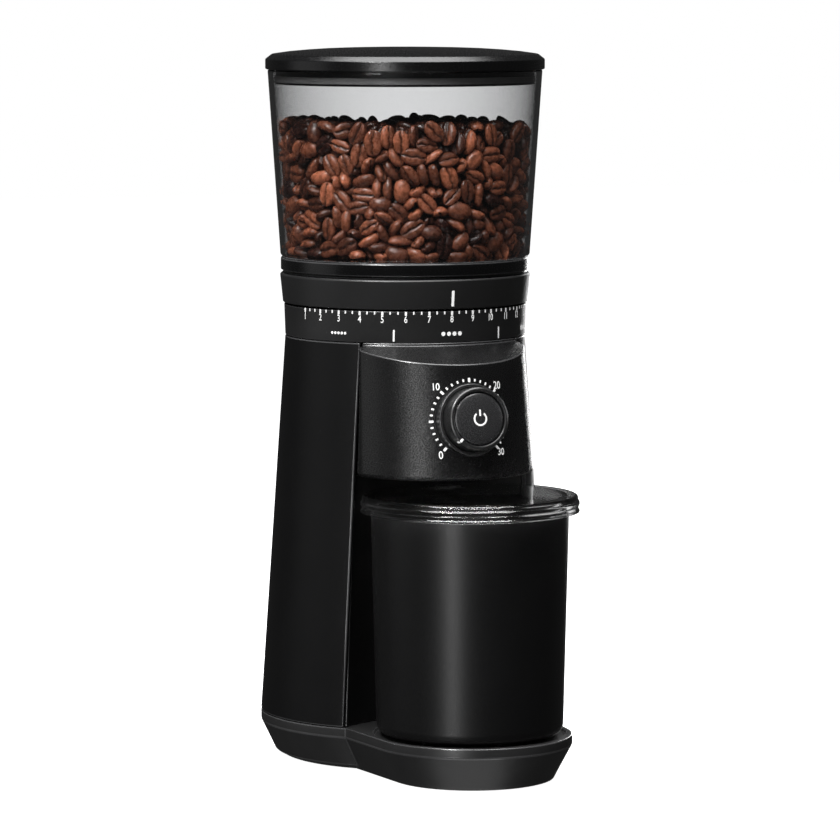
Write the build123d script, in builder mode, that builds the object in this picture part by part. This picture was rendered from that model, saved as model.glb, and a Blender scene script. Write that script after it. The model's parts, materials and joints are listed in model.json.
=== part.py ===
from build123d import *
import math
import os

os.makedirs("parts", exist_ok=True)

# ---------------------------------------------------------------- driving dimensions, mm
# +Z is up, the front faces -Y, and the origin is the middle of the footprint, on the table.
BASE_R = 84.7  # rear drum of the base, and the foot of the rear cover
TRAY_R = 57.3  # rounded front of the tray
TRAY_Y = -99.5  # centre of that rounding, in front of the burr axis
TRAY_FLARE = 5.0  # its sides spread by this angle towards the drum

BODY_TOP = 246.0  # top edge of the rear cover
BODY_TOP_R = 69.9
COVER_FOOT = 26.4  # bottom edge of the rear cover
COVER_WALL = 2.5
SEAM_APEX_Y = -24.3  # the two seam planes at the sides of the front meet here
SEAM_HALF_ANGLE = 62.2  # angle of each seam plane from straight ahead
PANEL_GAP = 1.7  # shadow gap between the cover's edge and the front panel
COLUMN_GAP = 1.0  # and beside the column wall
RETURN_WALL = 2.4  # the panel turns in along the seam, this thick
RETURN_R = 58.0  # as far in as this
RETURN_LOW = 173.8  # and down to this height, above the head plate

BASE_TOP = 26.0
TAPER_TOP = 20.5  # the base narrows below this height
TAPER_LOW = 3.4  # and turns under to its foot below this one
TAPER_LOW_R = 76.4
TRAY_TAPER_LOW_R = 48.2
BASE_LOW = 0.7
BASE_LOW_R = 71.5
TRAY_LOW_R = 46.8
BASE_WALL = 3.0
WELL_R, WELL_DEPTH = 54.6, 1.4  # shallow well in the tray, under the container
RIBS, RIB_R, RIB_SIZE = 6, 36.0, (14.0, 3.0)

HEAD_BOTTOM = 170.6
# Head sections: z, radius and centre y of the nose, and the corner where its side meets the seam.
HEAD_SECTIONS = ((170.6, 56.0, -47.6, (52.4, -55.5)), (250.0, 53.4, -38.4, (46.0, -51.3)))
HEAD_NOSE_ANGLE = math.radians(70)  # the nose is round this far to each side, then rolls in to the seam
HEAD_BACK = (30.0, -17.6)  # rear corners of the head's form, inside the body
HEAD_WALL = 2.8
FACET_R = 70.2  # inner edge of the sloped crescent above the front panel
FACET_DROP = 1.6  # how far that edge lies below the body's top
FACET_SLOPE = 0.38

RING_BOTTOM, RING_TOP = 246.5, 264.6  # fixed scale ring
COLLAR_BOTTOM, COLLAR_TOP = 265.5, 282.5  # turning grind collar
COLLAR_BOTTOM_R, COLLAR_TOP_R = 71.2, 72.9
HOPPER_BASE_BOTTOM, HOPPER_BASE_TOP = 282.8, 292.0
HOPPER_TOP = 400.0
HOPPER_LOW_R, HOPPER_HIGH_R = 72.6, 79.8
HOPPER_WALL = 3.0
LID_R = 81.2
LID_BOTTOM, LID_BAND_TOP, LID_SHOULDER, LID_TOP = 400.3, 406.2, 409.3, 413.0
LID_SHOULDER_R = 77.3
LID_DOME = ((38.0, 412.5), (60.0, 411.2))  # radius, z of the shallow dome between middle and shoulder

CONTAINER_Y = -96.8
CONTAINER_BOTTOM, CONTAINER_TOP = 26.3, 152.4
CONTAINER_LOW_R, CONTAINER_HIGH_R = 53.2, 56.2
CONTAINER_WALL = 1.2
CAP_R = 62.2  # clear lid of the grounds container
CAP_BOTTOM, CAP_TOP = 152.7, 162.3
AXIS_Y = (CAP_R - CONTAINER_Y - BASE_R) / 2  # burr axis, behind the middle of the whole outline
CHUTE_Y = -60.0  # vertical leg of the grounds chute
CHUTE_BORE = (18.0, 12.0)  # width, depth
CHUTE_WALL = 1.5
CHUTE_AXIS_Z = 231.0  # level leg, out of the grinding chamber
CHUTE_END = 168.0

DIAL_Z = 204.7
DIAL_TILT = 8.0  # the dial looks up by this angle
DIAL_Y = -98.7
BEZEL_R = 20.3
DIAL_R = 17.8
BUTTON_R = 14.9
DIAL_FRONT = 12.3
GUIDE_R = 8.9

SHAFT_R = 4.0
BUSH_GAP = 0.05  # radial running clearance of the shafts
SLEEVE_R = 44.0  # bore of the collar's sleeve, which guides the burr carrier
CARRIER_GAP = 0.05
CHAMBER_R = 30.0

GEAR_MODULE = 1.0
GEAR_TEETH, PINION_TEETH = 56, 14
GEAR_Z, GEAR_HEIGHT = 208.0, 8.0
PRESSURE_ANGLE = math.radians(20)
ADDENDUM, DEDENDUM = 0.8, 1.1  # in modules
BACKLASH = 0.16
FLANK_STEPS = 3  # straight pieces in each flank
MOTOR_Y = GEAR_MODULE * (GEAR_TEETH + PINION_TEETH) / 2
MOTOR_R = 31.0
MOTOR_BOTTOM, MOTOR_TOP = 92.0, 190.0
MOTOR_SCREW_SPOTS = [(x, MOTOR_Y + y) for x in (-22, 22) for y in (-14, 14)]

FOOT_R = 7.0
FOOT_SPOTS = [(-24.0, -121.0), (24.0, -121.0), (-52.0, 30.0), (52.0, 30.0), (0.0, 60.0)]
SCREW_R = 1.5


# ---------------------------------------------------------------- helpers
def level(z, y=0.0):
    """Horizontal plane at height z, centred y in front of or behind the burr axis."""
    return Plane(origin=(0, AXIS_Y + y, z), z_dir=(0, 0, 1))


def turn(points, y=0.0, start=0.0, arc=360.0, mode=Mode.ADD):
    """Revolve a closed outline of (radius, height) points about the vertical at y."""
    angle = math.radians(start)
    side = Plane(
        origin=(0, AXIS_Y + y, 0),
        x_dir=(math.cos(angle), math.sin(angle), 0),
        z_dir=(math.sin(angle), -math.cos(angle), 0),
    )
    with BuildSketch(side) as profile:
        with BuildLine():
            Polyline(*points, close=True)
        make_face()
    axis = Axis((0, AXIS_Y + y, 0), (0, 0, 1))
    return revolve(profile.sketch, axis=axis, revolution_arc=arc, mode=mode)


def ring(z_low, z_high, outer, inner=0.0, y=0.0, mode=Mode.ADD):
    """Plain disc or ring."""
    with BuildSketch(level(z_low, y)) as section:
        Circle(outer)
        if inner:
            Circle(inner, mode=Mode.SUBTRACT)
    return extrude(section.sketch, amount=z_high - z_low, mode=mode)


def finish(builder, name):
    """Label a finished piece and write it."""
    builder.part.label = name
    export_step(builder.part, "parts/" + name + ".step")


def front_wedge(z_low, z_high, mode, gap=0.0):
    """Everything in front of the two seam planes, less a gap along them."""
    reach = 120.0
    across = reach * math.tan(math.radians(SEAM_HALF_ANGLE))
    apex_y = SEAM_APEX_Y - gap / math.sin(math.radians(SEAM_HALF_ANGLE))
    with BuildSketch(level(z_low, apex_y)) as wedge:
        with BuildLine():
            Polyline((0, 0), (across, -reach), (-across, -reach), close=True)
        make_face()
    return extrude(wedge.sketch, amount=z_high - z_low, mode=mode)


# ---------------------------------------------------------------- base
def tray_outline(z, radius):
    """Plan of the tray: a round front with straight sides spreading back into the drum."""
    flare = math.radians(TRAY_FLARE)
    side_x, side_y = radius * math.cos(flare), -radius * math.sin(flare)
    back_x = side_x + (-TRAY_Y - side_y) * math.tan(flare)
    with BuildSketch(level(z, TRAY_Y)) as outline:
        with BuildLine():
            ThreePointArc((-side_x, side_y), (0, -radius), (side_x, side_y))
            Polyline((side_x, side_y), (back_x, -TRAY_Y), (-back_x, -TRAY_Y), (-side_x, side_y))
        make_face()
    return outline.sketch


def base_form(inset, low, top):
    """Rear drum joined with the front tray, both narrowing towards the table."""
    drum = [
        (0, low),
        (BASE_LOW_R - inset, low),
        (TAPER_LOW_R - inset, TAPER_LOW),
        (BASE_R - inset, TAPER_TOP),
        (BASE_R - inset, top),
        (0, top),
    ]
    turn(drum)
    foot_outline = tray_outline(low, TRAY_LOW_R - inset)
    taper_outline = tray_outline(TAPER_LOW, TRAY_TAPER_LOW_R - inset)
    rim_outline = tray_outline(TAPER_TOP, TRAY_R - inset)
    loft([foot_outline, taper_outline], ruled=True)
    loft([taper_outline, rim_outline], ruled=True)
    extrude(rim_outline, amount=top - TAPER_TOP)


with BuildPart() as base_core:
    base_form(BASE_WALL, BASE_LOW, BASE_TOP - BASE_WALL)

with BuildPart() as base_housing:
    base_form(0, BASE_LOW, BASE_TOP)
    add(base_core.part, mode=Mode.SUBTRACT)
    # Shallow well under the container, with ribs level with the rim that it slides over.
    ring(BASE_TOP - WELL_DEPTH, BASE_TOP, WELL_R, y=CONTAINER_Y, mode=Mode.SUBTRACT)
    with BuildSketch(level(BASE_TOP - WELL_DEPTH, CONTAINER_Y)):
        with PolarLocations(RIB_R, RIBS, start_angle=90):
            SlotOverall(RIB_SIZE[0], RIB_SIZE[1])
    extrude(amount=WELL_DEPTH)
finish(base_housing, "base_housing")

PLATE_GAP = 0.3
PLATE_LOW = BASE_LOW + 0.2
PLATE_TOP = BASE_LOW + 3.0
FOOT_POCKET = 1.2
with BuildPart() as base_plate:
    ring(PLATE_LOW, PLATE_TOP, BASE_LOW_R - BASE_WALL - PLATE_GAP)
    extrude(tray_outline(PLATE_LOW, TRAY_LOW_R - BASE_WALL - PLATE_GAP), amount=PLATE_TOP - PLATE_LOW)
    with BuildSketch(level(PLATE_LOW)):
        with Locations(*FOOT_SPOTS):
            Circle(FOOT_R + 0.1)
    extrude(amount=FOOT_POCKET, mode=Mode.SUBTRACT)
finish(base_plate, "base_plate")

for number, (foot_x, foot_y) in enumerate(FOOT_SPOTS, start=1):
    with BuildPart() as foot:
        with BuildSketch(Plane.XY):
            with Locations((foot_x, AXIS_Y + foot_y)):
                Circle(FOOT_R)
        extrude(amount=PLATE_LOW + FOOT_POCKET)
        chamfer(foot.faces().sort_by(Axis.Z)[0].edges(), length=0.4)
    finish(foot, "foot_" + str(number))

# ---------------------------------------------------------------- body
GLAND_R = 7.0
gland_plane = Plane(origin=(0, AXIS_Y + 76, 40), x_dir=(1, 0, 0), z_dir=(0, 1, 0))
with BuildPart() as rear_cover:
    cover_wall = [
        (BASE_R, COVER_FOOT),
        (BODY_TOP_R, BODY_TOP),
        (BODY_TOP_R - COVER_WALL, BODY_TOP),
        (BASE_R - COVER_WALL, COVER_FOOT),
    ]
    turn(cover_wall)
    front_wedge(COVER_FOOT, BODY_TOP, Mode.SUBTRACT)
    with BuildSketch(gland_plane):
        Circle(GLAND_R + 0.1)
    extrude(amount=20, mode=Mode.SUBTRACT)
finish(rear_cover, "rear_cover")

with BuildPart() as cover_room:
    # The room of the cover with a gap round it, which its neighbours keep clear of.
    room = [
        (BASE_R + COLUMN_GAP, COVER_FOOT),
        (BODY_TOP_R + COLUMN_GAP, BODY_TOP),
        (BODY_TOP_R - COVER_WALL - COLUMN_GAP, BODY_TOP),
        (BASE_R - COVER_WALL - COLUMN_GAP, COVER_FOOT),
    ]
    turn(room)
    front_wedge(COVER_FOOT, BODY_TOP, Mode.SUBTRACT, COLUMN_GAP)

RECESS_R = 92.0  # hollow front of the column, curving round behind the container
RECESS_Y = -126.0
RECESS_WALL = 3.0
COLUMN_TOP = 170.2
COLUMN_INSET = 0.9  # how far its side edges lie behind the cover's surface
with BuildPart() as column_wall:
    with BuildSketch(level(COVER_FOOT, RECESS_Y)):
        Circle(RECESS_R + RECESS_WALL)
        Circle(RECESS_R, mode=Mode.SUBTRACT)
        with Locations((0, RECESS_R)):
            Rectangle(160, 84, mode=Mode.INTERSECT)
    extrude(amount=COLUMN_TOP - COVER_FOOT)
    cone = [
        (0, COVER_FOOT),
        (BASE_R - COLUMN_INSET, COVER_FOOT),
        (BODY_TOP_R - COLUMN_INSET, BODY_TOP),
        (0, BODY_TOP),
    ]
    turn(cone, mode=Mode.INTERSECT)
    add(cover_room.part, mode=Mode.SUBTRACT)
finish(column_wall, "column_wall")


def head_outline(z, section, inset):
    """Plan of the head: a round nose whose sides roll in to meet the cover at the seams."""
    _, radius, centre_y, (corner_x, corner_y) = section
    nose_x = (radius - inset) * math.sin(HEAD_NOSE_ANGLE)
    nose_y = centre_y - (radius - inset) * math.cos(HEAD_NOSE_ANGLE)
    back_x, back_y = HEAD_BACK
    side_x = corner_x - inset
    along = (math.cos(HEAD_NOSE_ANGLE), math.sin(HEAD_NOSE_ANGLE))
    with BuildSketch(level(z)) as outline:
        with BuildLine():
            ThreePointArc((-nose_x, nose_y), (0, centre_y - radius + inset), (nose_x, nose_y))
            TangentArc((nose_x, nose_y), (side_x, corner_y), tangent=along)
            Polyline((side_x, corner_y), (back_x, back_y), (-back_x, back_y), (-side_x, corner_y))
            TangentArc((-nose_x, nose_y), (-side_x, corner_y), tangent=(-along[0], along[1]))
        make_face()
    return outline.sketch


def head_form(inset):
    """Nose from the underside to above the facet, cut off by the sloped crescent."""
    loft([head_outline(section[0], section, inset) for section in HEAD_SECTIONS], ruled=True)
    top = BODY_TOP + 0.2 - inset * 1.15
    ring(top, top + 20, 130, mode=Mode.SUBTRACT)
    outer = 130.0
    facet = [
        (FACET_R, top - FACET_DROP),
        (outer, top - FACET_DROP - FACET_SLOPE * (outer - FACET_R)),
        (outer, top + 20),
        (FACET_R, top + 20),
    ]
    turn(facet, mode=Mode.SUBTRACT)


with BuildPart() as head_core:
    head_form(HEAD_WALL)
    extrude(head_outline(HEAD_BOTTOM - HEAD_WALL, HEAD_SECTIONS[0], HEAD_WALL), amount=HEAD_WALL)

with BuildPart() as return_walls:
    front_wedge(RETURN_LOW, BODY_TOP - 1, Mode.ADD, PANEL_GAP)
    front_wedge(RETURN_LOW, BODY_TOP - 1, Mode.SUBTRACT, PANEL_GAP + RETURN_WALL)
    ring(HEAD_BOTTOM, RING_BOTTOM, RETURN_R, mode=Mode.SUBTRACT)
    add(head_core.part, mode=Mode.INTERSECT)

dial_plane = Plane(
    origin=(0, AXIS_Y + DIAL_Y, DIAL_Z),
    x_dir=(1, 0, 0),
    z_dir=(0, -math.cos(math.radians(DIAL_TILT)), math.sin(math.radians(DIAL_TILT))),
)

with BuildPart() as front_panel:
    head_form(0)
    bottom_edges = front_panel.faces().sort_by(Axis.Z)[0].edges()
    fillet(bottom_edges, radius=2.4)
    add(head_core.part, mode=Mode.SUBTRACT)
    front_wedge(HEAD_BOTTOM - 1, RING_BOTTOM + 1, Mode.INTERSECT, PANEL_GAP)
    add(return_walls.part)
    ring(HEAD_BOTTOM + 60, RING_BOTTOM + 1, FACET_R - 3, mode=Mode.SUBTRACT)
    with BuildSketch(dial_plane.offset(-14)):
        Circle(BEZEL_R + 0.15)
    extrude(amount=30, mode=Mode.SUBTRACT)
finish(front_panel, "front_panel")

CHUTE_HOLE = (CHUTE_BORE[0] + 2 * CHUTE_WALL + 0.6, CHUTE_BORE[1] + 2 * CHUTE_WALL + 0.6)
HEAD_PLATE_LOW = HEAD_BOTTOM + 0.4
HEAD_PLATE_TOP = HEAD_PLATE_LOW + 2.4
with BuildPart() as head_plate:
    plate_outline = head_outline(HEAD_PLATE_LOW, HEAD_SECTIONS[0], HEAD_WALL + 0.5)
    extrude(plate_outline, amount=HEAD_PLATE_TOP - HEAD_PLATE_LOW)
    add(cover_room.part, mode=Mode.SUBTRACT)
    with BuildSketch(level(HEAD_PLATE_LOW)):
        with Locations((0, CHUTE_Y)):
            Rectangle(*CHUTE_HOLE)
    extrude(amount=HEAD_PLATE_TOP - HEAD_PLATE_LOW, mode=Mode.SUBTRACT)
finish(head_plate, "head_plate")

DECK_BOTTOM, DECK_TOP = 239.5, 242.5
DECK_R = 66.9
POST_SPOTS = [(-46.0, -6.0), (46.0, -6.0), (-36.0, 44.0), (36.0, 44.0)]
POST_R = 3.5
CHAMBER_SCREW_R = 34.0
with BuildPart() as top_deck:
    ring(DECK_BOTTOM, DECK_TOP, DECK_R, CHAMBER_R + 0.3)
    with BuildSketch(level(DECK_BOTTOM)):
        with Locations(*POST_SPOTS):
            Circle(SCREW_R)
        with PolarLocations(CHAMBER_SCREW_R, 4, start_angle=45):
            Circle(SCREW_R)
        with Locations((0, -67)):
            Rectangle(120, 46)
    extrude(amount=DECK_TOP - DECK_BOTTOM, mode=Mode.SUBTRACT)
finish(top_deck, "top_deck")

for number, (post_x, post_y) in enumerate(POST_SPOTS, start=1):
    with BuildPart() as post:
        with BuildSketch(level(BASE_TOP)):
            with Locations((post_x, post_y)):
                Circle(POST_R)
        extrude(amount=DECK_BOTTOM - BASE_TOP)
        with BuildSketch(level(DECK_BOTTOM)):
            with Locations((post_x, post_y)):
                Circle(SCREW_R)
        extrude(amount=-12, mode=Mode.SUBTRACT)
    finish(post, "frame_post_" + str(number))

with BuildPart() as scale_ring:
    ring_profile = [
        (60, DECK_TOP),
        (66, DECK_TOP),
        (66, RING_BOTTOM),
        (69.9, RING_BOTTOM),
        (70.5, RING_TOP - 0.4),
        (70.1, RING_TOP),
        (62.5, RING_TOP),
        (62.5, 252),
        (60, 252),
    ]
    turn(ring_profile)
    # The skirt is open at the front, where the nose of the body comes up inside it.
    with BuildSketch(level(DECK_TOP)):
        with Locations((0, -70)):
            Rectangle(110, 52)
    extrude(amount=RING_BOTTOM - DECK_TOP, mode=Mode.SUBTRACT)
finish(scale_ring, "scale_ring")

# ---------------------------------------------------------------- grinding group
CHAMBER_FLOOR, CHAMBER_TOP = 224.0, 245.5
with BuildPart() as grinding_chamber:
    chamber_profile = [
        (SHAFT_R + 3.5, CHAMBER_FLOOR - 3),
        (CHAMBER_R, CHAMBER_FLOOR - 3),
        (CHAMBER_R, DECK_TOP),
        (38, DECK_TOP),
        (38, CHAMBER_TOP),
        (CHAMBER_R - 2.5, CHAMBER_TOP),
        (CHAMBER_R - 2.5, CHAMBER_FLOOR),
        (SHAFT_R + 3.5, CHAMBER_FLOOR),
    ]
    turn(chamber_profile)
    with BuildSketch(level(CHUTE_AXIS_Z - CHUTE_BORE[1] / 2)):
        with Locations((0, -CHAMBER_R)):
            Rectangle(CHUTE_BORE[0], 12)
    extrude(amount=CHUTE_BORE[1], mode=Mode.SUBTRACT)
    with BuildSketch(level(DECK_TOP)):
        with PolarLocations(CHAMBER_SCREW_R, 4, start_angle=45):
            Circle(SCREW_R)
    extrude(amount=2.6, mode=Mode.SUBTRACT)
finish(grinding_chamber, "grinding_chamber")

with BuildPart() as grounds_chute:
    chute_start = AXIS_Y - CHAMBER_R - 0.3
    with BuildLine() as chute_path:
        Polyline(
            (0, chute_start, CHUTE_AXIS_Z),
            (0, AXIS_Y + CHUTE_Y, CHUTE_AXIS_Z),
            (0, AXIS_Y + CHUTE_Y, CHUTE_END),
        )
    mouth = Plane(origin=(0, chute_start, CHUTE_AXIS_Z), x_dir=(1, 0, 0), z_dir=(0, -1, 0))
    with BuildSketch(mouth):
        Rectangle(CHUTE_BORE[0] + 2 * CHUTE_WALL, CHUTE_BORE[1] + 2 * CHUTE_WALL)
        Rectangle(*CHUTE_BORE, mode=Mode.SUBTRACT)
    sweep(path=chute_path.line, transition=Transition.RIGHT)
finish(grounds_chute, "grounds_chute")

CARRIER_LOW, CARRIER_HIGH = 246.4, 262.0
BURR_SEAT_R = 27.0
BURR_SEAT_Z = 248.5
with BuildPart() as burr_carrier:
    carrier_profile = [
        (BURR_SEAT_R + 0.02, CARRIER_LOW),
        (SLEEVE_R - CARRIER_GAP, CARRIER_LOW),
        (SLEEVE_R - CARRIER_GAP, CARRIER_HIGH),
        (29, CARRIER_HIGH),
        (29, 267),
        (27, 267),
        (23, 264),
        (BURR_SEAT_R + 0.02, 264),
    ]
    turn(carrier_profile)
finish(burr_carrier, "burr_carrier")

BURR_TOOTH = 1.4
with BuildPart() as ring_burr:
    ring_burr_profile = [
        (20.6, BURR_SEAT_Z - 2),
        (BURR_SEAT_R, BURR_SEAT_Z - 2),
        (BURR_SEAT_R, 264),
        (23, 264),
        (18.6, 254),
    ]
    turn(ring_burr_profile)
    with BuildSketch(level(BURR_SEAT_Z - 2)):
        with PolarLocations(19.4, 30):
            RectangleRounded(2 * BURR_TOOTH, 1.4, 0.3)
    extrude(amount=20, mode=Mode.SUBTRACT)
finish(ring_burr, "ring_burr")

CONE_LOW, CONE_HIGH = 243.0, 266.0
CONE_LOW_R, CONE_HIGH_R = 19.2, 8.5
CONE_FLUTES = 12
FLUTE_WIDTH = 2.4
with BuildPart() as cone_burr:
    cone_profile = [
        (SHAFT_R, CONE_LOW),
        (CONE_LOW_R, CONE_LOW),
        (CONE_LOW_R, CONE_LOW + 2),
        (CONE_HIGH_R, CONE_HIGH),
        (SHAFT_R, CONE_HIGH),
    ]
    turn(cone_profile)
    # Flutes cut down the cone, deep at the narrow end and running out at the wide one.
    for flute_number in range(CONE_FLUTES):
        angle = 2 * math.pi * flute_number / CONE_FLUTES
        radial = Plane(
            origin=(0, AXIS_Y, 0),
            x_dir=(math.cos(angle), math.sin(angle), 0),
            z_dir=(math.sin(angle), -math.cos(angle), 0),
        )
        with BuildSketch(radial.offset(-FLUTE_WIDTH / 2)):
            with BuildLine():
                Polyline(
                    (5.6, CONE_HIGH + 1),
                    (CONE_HIGH_R + 4, CONE_HIGH + 1),
                    (CONE_LOW_R + 2, CONE_LOW + 3),
                    (CONE_LOW_R - 1.6, CONE_LOW + 3),
                    close=True,
                )
            make_face()
        extrude(amount=FLUTE_WIDTH, mode=Mode.SUBTRACT)
finish(cone_burr, "cone_burr")

with BuildPart() as burr_shaft:
    ring(200.6, 267, SHAFT_R)
    ring(267, 270.5, 6.5)
    chamfer(burr_shaft.edges().group_by(Axis.Z)[-1], length=1.0)
finish(burr_shaft, "burr_shaft")

with BuildPart() as impeller:
    ring(226.0, 230.0, 10, SHAFT_R)
    ring(230.0, 242.7, 9, SHAFT_R)
    with BuildSketch(level(226.6)):
        with PolarLocations(17, 4):
            Rectangle(18, 3)
    extrude(amount=9.5)
finish(impeller, "impeller")


def gear_section(plane, teeth, bore):
    """Spur gear section with involute flanks and one tooth centred on +X."""
    pitch_r = GEAR_MODULE * teeth / 2
    base_r = pitch_r * math.cos(PRESSURE_ANGLE)
    tip_r = pitch_r + ADDENDUM * GEAR_MODULE
    root_r = pitch_r - DEDENDUM * GEAR_MODULE
    involute_at_pitch = math.tan(PRESSURE_ANGLE) - PRESSURE_ANGLE
    half_tooth = math.pi / (2 * teeth) - BACKLASH / (2 * pitch_r)
    start_r = max(base_r, root_r)
    radii = [root_r] if root_r < base_r else []
    radii += [start_r + (tip_r - start_r) * step / FLANK_STEPS for step in range(FLANK_STEPS + 1)]
    flank = []
    for radius in radii:
        pressure = math.acos(base_r / max(radius, base_r))
        flank.append((radius, half_tooth + involute_at_pitch - (math.tan(pressure) - pressure)))
    points = []
    for tooth in range(teeth):
        centre = 2 * math.pi * tooth / teeth
        rising = [(radius, centre - half_angle) for radius, half_angle in flank]
        falling = [(radius, centre + half_angle) for radius, half_angle in reversed(flank)]
        for radius, angle in rising + falling:
            points.append((radius * math.cos(angle), radius * math.sin(angle)))
    with BuildSketch(plane) as section:
        with BuildLine():
            Polyline(*points, close=True)
        make_face()
        Circle(bore, mode=Mode.SUBTRACT)
    return section.sketch


with BuildPart() as drive_gear:
    extrude(gear_section(level(GEAR_Z), GEAR_TEETH, SHAFT_R), amount=GEAR_HEIGHT)
    with BuildSketch(level(GEAR_Z)):
        with PolarLocations(17, 6):
            Circle(5)
    extrude(amount=GEAR_HEIGHT, mode=Mode.SUBTRACT)
    ring(GEAR_Z + GEAR_HEIGHT, GEAR_Z + GEAR_HEIGHT + 2, 8, SHAFT_R)
finish(drive_gear, "drive_gear")

MOTOR_SHAFT_R = 2.5
with BuildPart() as motor_pinion:
    extrude(gear_section(level(GEAR_Z - 0.5, MOTOR_Y), PINION_TEETH, MOTOR_SHAFT_R), amount=GEAR_HEIGHT + 1)
finish(motor_pinion, "motor_pinion")


def gear_case_plan(z, inset):
    """Plan of the gear case, round both gears."""
    gear_tip = GEAR_MODULE * (GEAR_TEETH / 2 + ADDENDUM)
    pinion_tip = GEAR_MODULE * (PINION_TEETH / 2 + ADDENDUM)
    with BuildSketch(level(z)) as plan:
        Circle(gear_tip + CASE_SPACE - inset)
        with Locations((0, MOTOR_Y)):
            Circle(pinion_tip + CASE_SPACE - inset)
        with Locations((0, MOTOR_Y / 2)):
            Rectangle(2 * (pinion_tip + CASE_SPACE - inset), MOTOR_Y)
    return plan.sketch


CASE_LOW, CASE_HIGH = 203.0, 220.7
CASE_WALL = 2.4
CASE_SPACE = CASE_WALL + 1.2  # tooth tips to the outside of the case
BUSH_R = SHAFT_R + 3.5
with BuildPart() as gear_case:
    extrude(gear_case_plan(CASE_LOW, 0), amount=CASE_HIGH - CASE_WALL - CASE_LOW)
    extrude(gear_case_plan(CASE_LOW + CASE_WALL, CASE_WALL), amount=CASE_HIGH - CASE_LOW, mode=Mode.SUBTRACT)
    ring(CASE_LOW, CASE_HIGH, BUSH_R, mode=Mode.SUBTRACT)
    ring(CASE_LOW, CASE_HIGH, MOTOR_SHAFT_R + 2, y=MOTOR_Y, mode=Mode.SUBTRACT)
finish(gear_case, "gear_case")

with BuildPart() as gear_case_cover:
    extrude(gear_case_plan(CASE_HIGH - CASE_WALL, 0), amount=CASE_WALL)
    ring(CASE_LOW, CASE_HIGH, BUSH_R, mode=Mode.SUBTRACT)
finish(gear_case_cover, "gear_case_cover")


def bush(z_low, z_high, name):
    """Plain bearing that the burr shaft turns in."""
    with BuildPart() as bearing:
        ring(z_low, z_high, BUSH_R, SHAFT_R + BUSH_GAP)
    finish(bearing, name)


bush(CASE_HIGH - CASE_WALL + 0.7, CHAMBER_FLOOR, "upper_bearing")
bush(CASE_LOW, CASE_LOW + CASE_WALL + 1, "lower_bearing")

# ---------------------------------------------------------------- motor
with BuildPart() as motor_can:
    ring(MOTOR_BOTTOM, MOTOR_TOP, MOTOR_R, MOTOR_R - 2, y=MOTOR_Y)
    ring(MOTOR_BOTTOM, MOTOR_BOTTOM + 3, MOTOR_R, 8, y=MOTOR_Y)
    ring(MOTOR_BOTTOM + 3, MOTOR_BOTTOM + 8, 8, MOTOR_SHAFT_R + BUSH_GAP, y=MOTOR_Y)
    ring(MOTOR_BOTTOM, MOTOR_BOTTOM + 3, 8, MOTOR_SHAFT_R + BUSH_GAP, y=MOTOR_Y)
finish(motor_can, "motor_can")

with BuildPart() as motor_end_cap:
    ring(MOTOR_TOP, MOTOR_TOP + 4, MOTOR_R, MOTOR_SHAFT_R + BUSH_GAP, y=MOTOR_Y)
    ring(MOTOR_TOP + 4, MOTOR_TOP + 9, 9, MOTOR_SHAFT_R + BUSH_GAP, y=MOTOR_Y)
    with BuildSketch(level(MOTOR_TOP)):
        with Locations(*MOTOR_SCREW_SPOTS):
            Circle(SCREW_R)
    extrude(amount=4, mode=Mode.SUBTRACT)
finish(motor_end_cap, "motor_end_cap")

ROTOR_SLOTS = 8
with BuildPart() as motor_rotor:
    ring(MOTOR_BOTTOM + 3, GEAR_Z + GEAR_HEIGHT + 1.5, MOTOR_SHAFT_R, y=MOTOR_Y)
    ring(MOTOR_BOTTOM + 24, MOTOR_TOP - 18, 17, MOTOR_SHAFT_R, y=MOTOR_Y)
    with BuildSketch(level(MOTOR_BOTTOM + 24, MOTOR_Y)):
        with PolarLocations(15.5, ROTOR_SLOTS):
            Rectangle(5, 2.5)
    extrude(amount=MOTOR_TOP - MOTOR_BOTTOM - 42, mode=Mode.SUBTRACT)
    ring(MOTOR_BOTTOM + 12, MOTOR_BOTTOM + 20, 10, MOTOR_SHAFT_R, y=MOTOR_Y)
finish(motor_rotor, "motor_rotor")

with BuildPart() as motor_magnets:
    with BuildSketch(level(MOTOR_BOTTOM + 22, MOTOR_Y)):
        Circle(MOTOR_R - 2.1)
        Circle(18.5, mode=Mode.SUBTRACT)
        Rectangle(80, 14, mode=Mode.SUBTRACT)
    extrude(amount=MOTOR_TOP - MOTOR_BOTTOM - 38)
finish(motor_magnets, "motor_magnets")

MOUNT_LOW = MOTOR_TOP + 4.1
with BuildPart() as motor_mount:
    with BuildSketch(level(MOUNT_LOW)):
        with Locations((0, MOTOR_Y - 5)):
            RectangleRounded(84, 52, 8)
        with Locations((0, MOTOR_Y)):
            Circle(9.4, mode=Mode.SUBTRACT)
        with Locations(*POST_SPOTS):
            Circle(POST_R + 0.05, mode=Mode.SUBTRACT)
        with Locations(*MOTOR_SCREW_SPOTS):
            Circle(SCREW_R, mode=Mode.SUBTRACT)
    extrude(amount=3)
finish(motor_mount, "motor_mount")

# ---------------------------------------------------------------- electrics
with BuildPart() as power_board:
    board_plane = Plane(origin=(0, AXIS_Y - 22, 60), x_dir=(1, 0, 0), z_dir=(0, -1, 0))
    with BuildSketch(board_plane):
        Rectangle(70, 50)
        with GridLocations(62, 42, 2, 2):
            Circle(SCREW_R, mode=Mode.SUBTRACT)
    extrude(amount=1.6)
    with BuildSketch(board_plane):
        with Locations((-20, 8)):
            Rectangle(14, 22)
        with Locations((4, -6)):
            Circle(8)
        with Locations((22, 6)):
            Rectangle(12, 16)
    extrude(amount=-14)
finish(power_board, "power_board")

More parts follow.
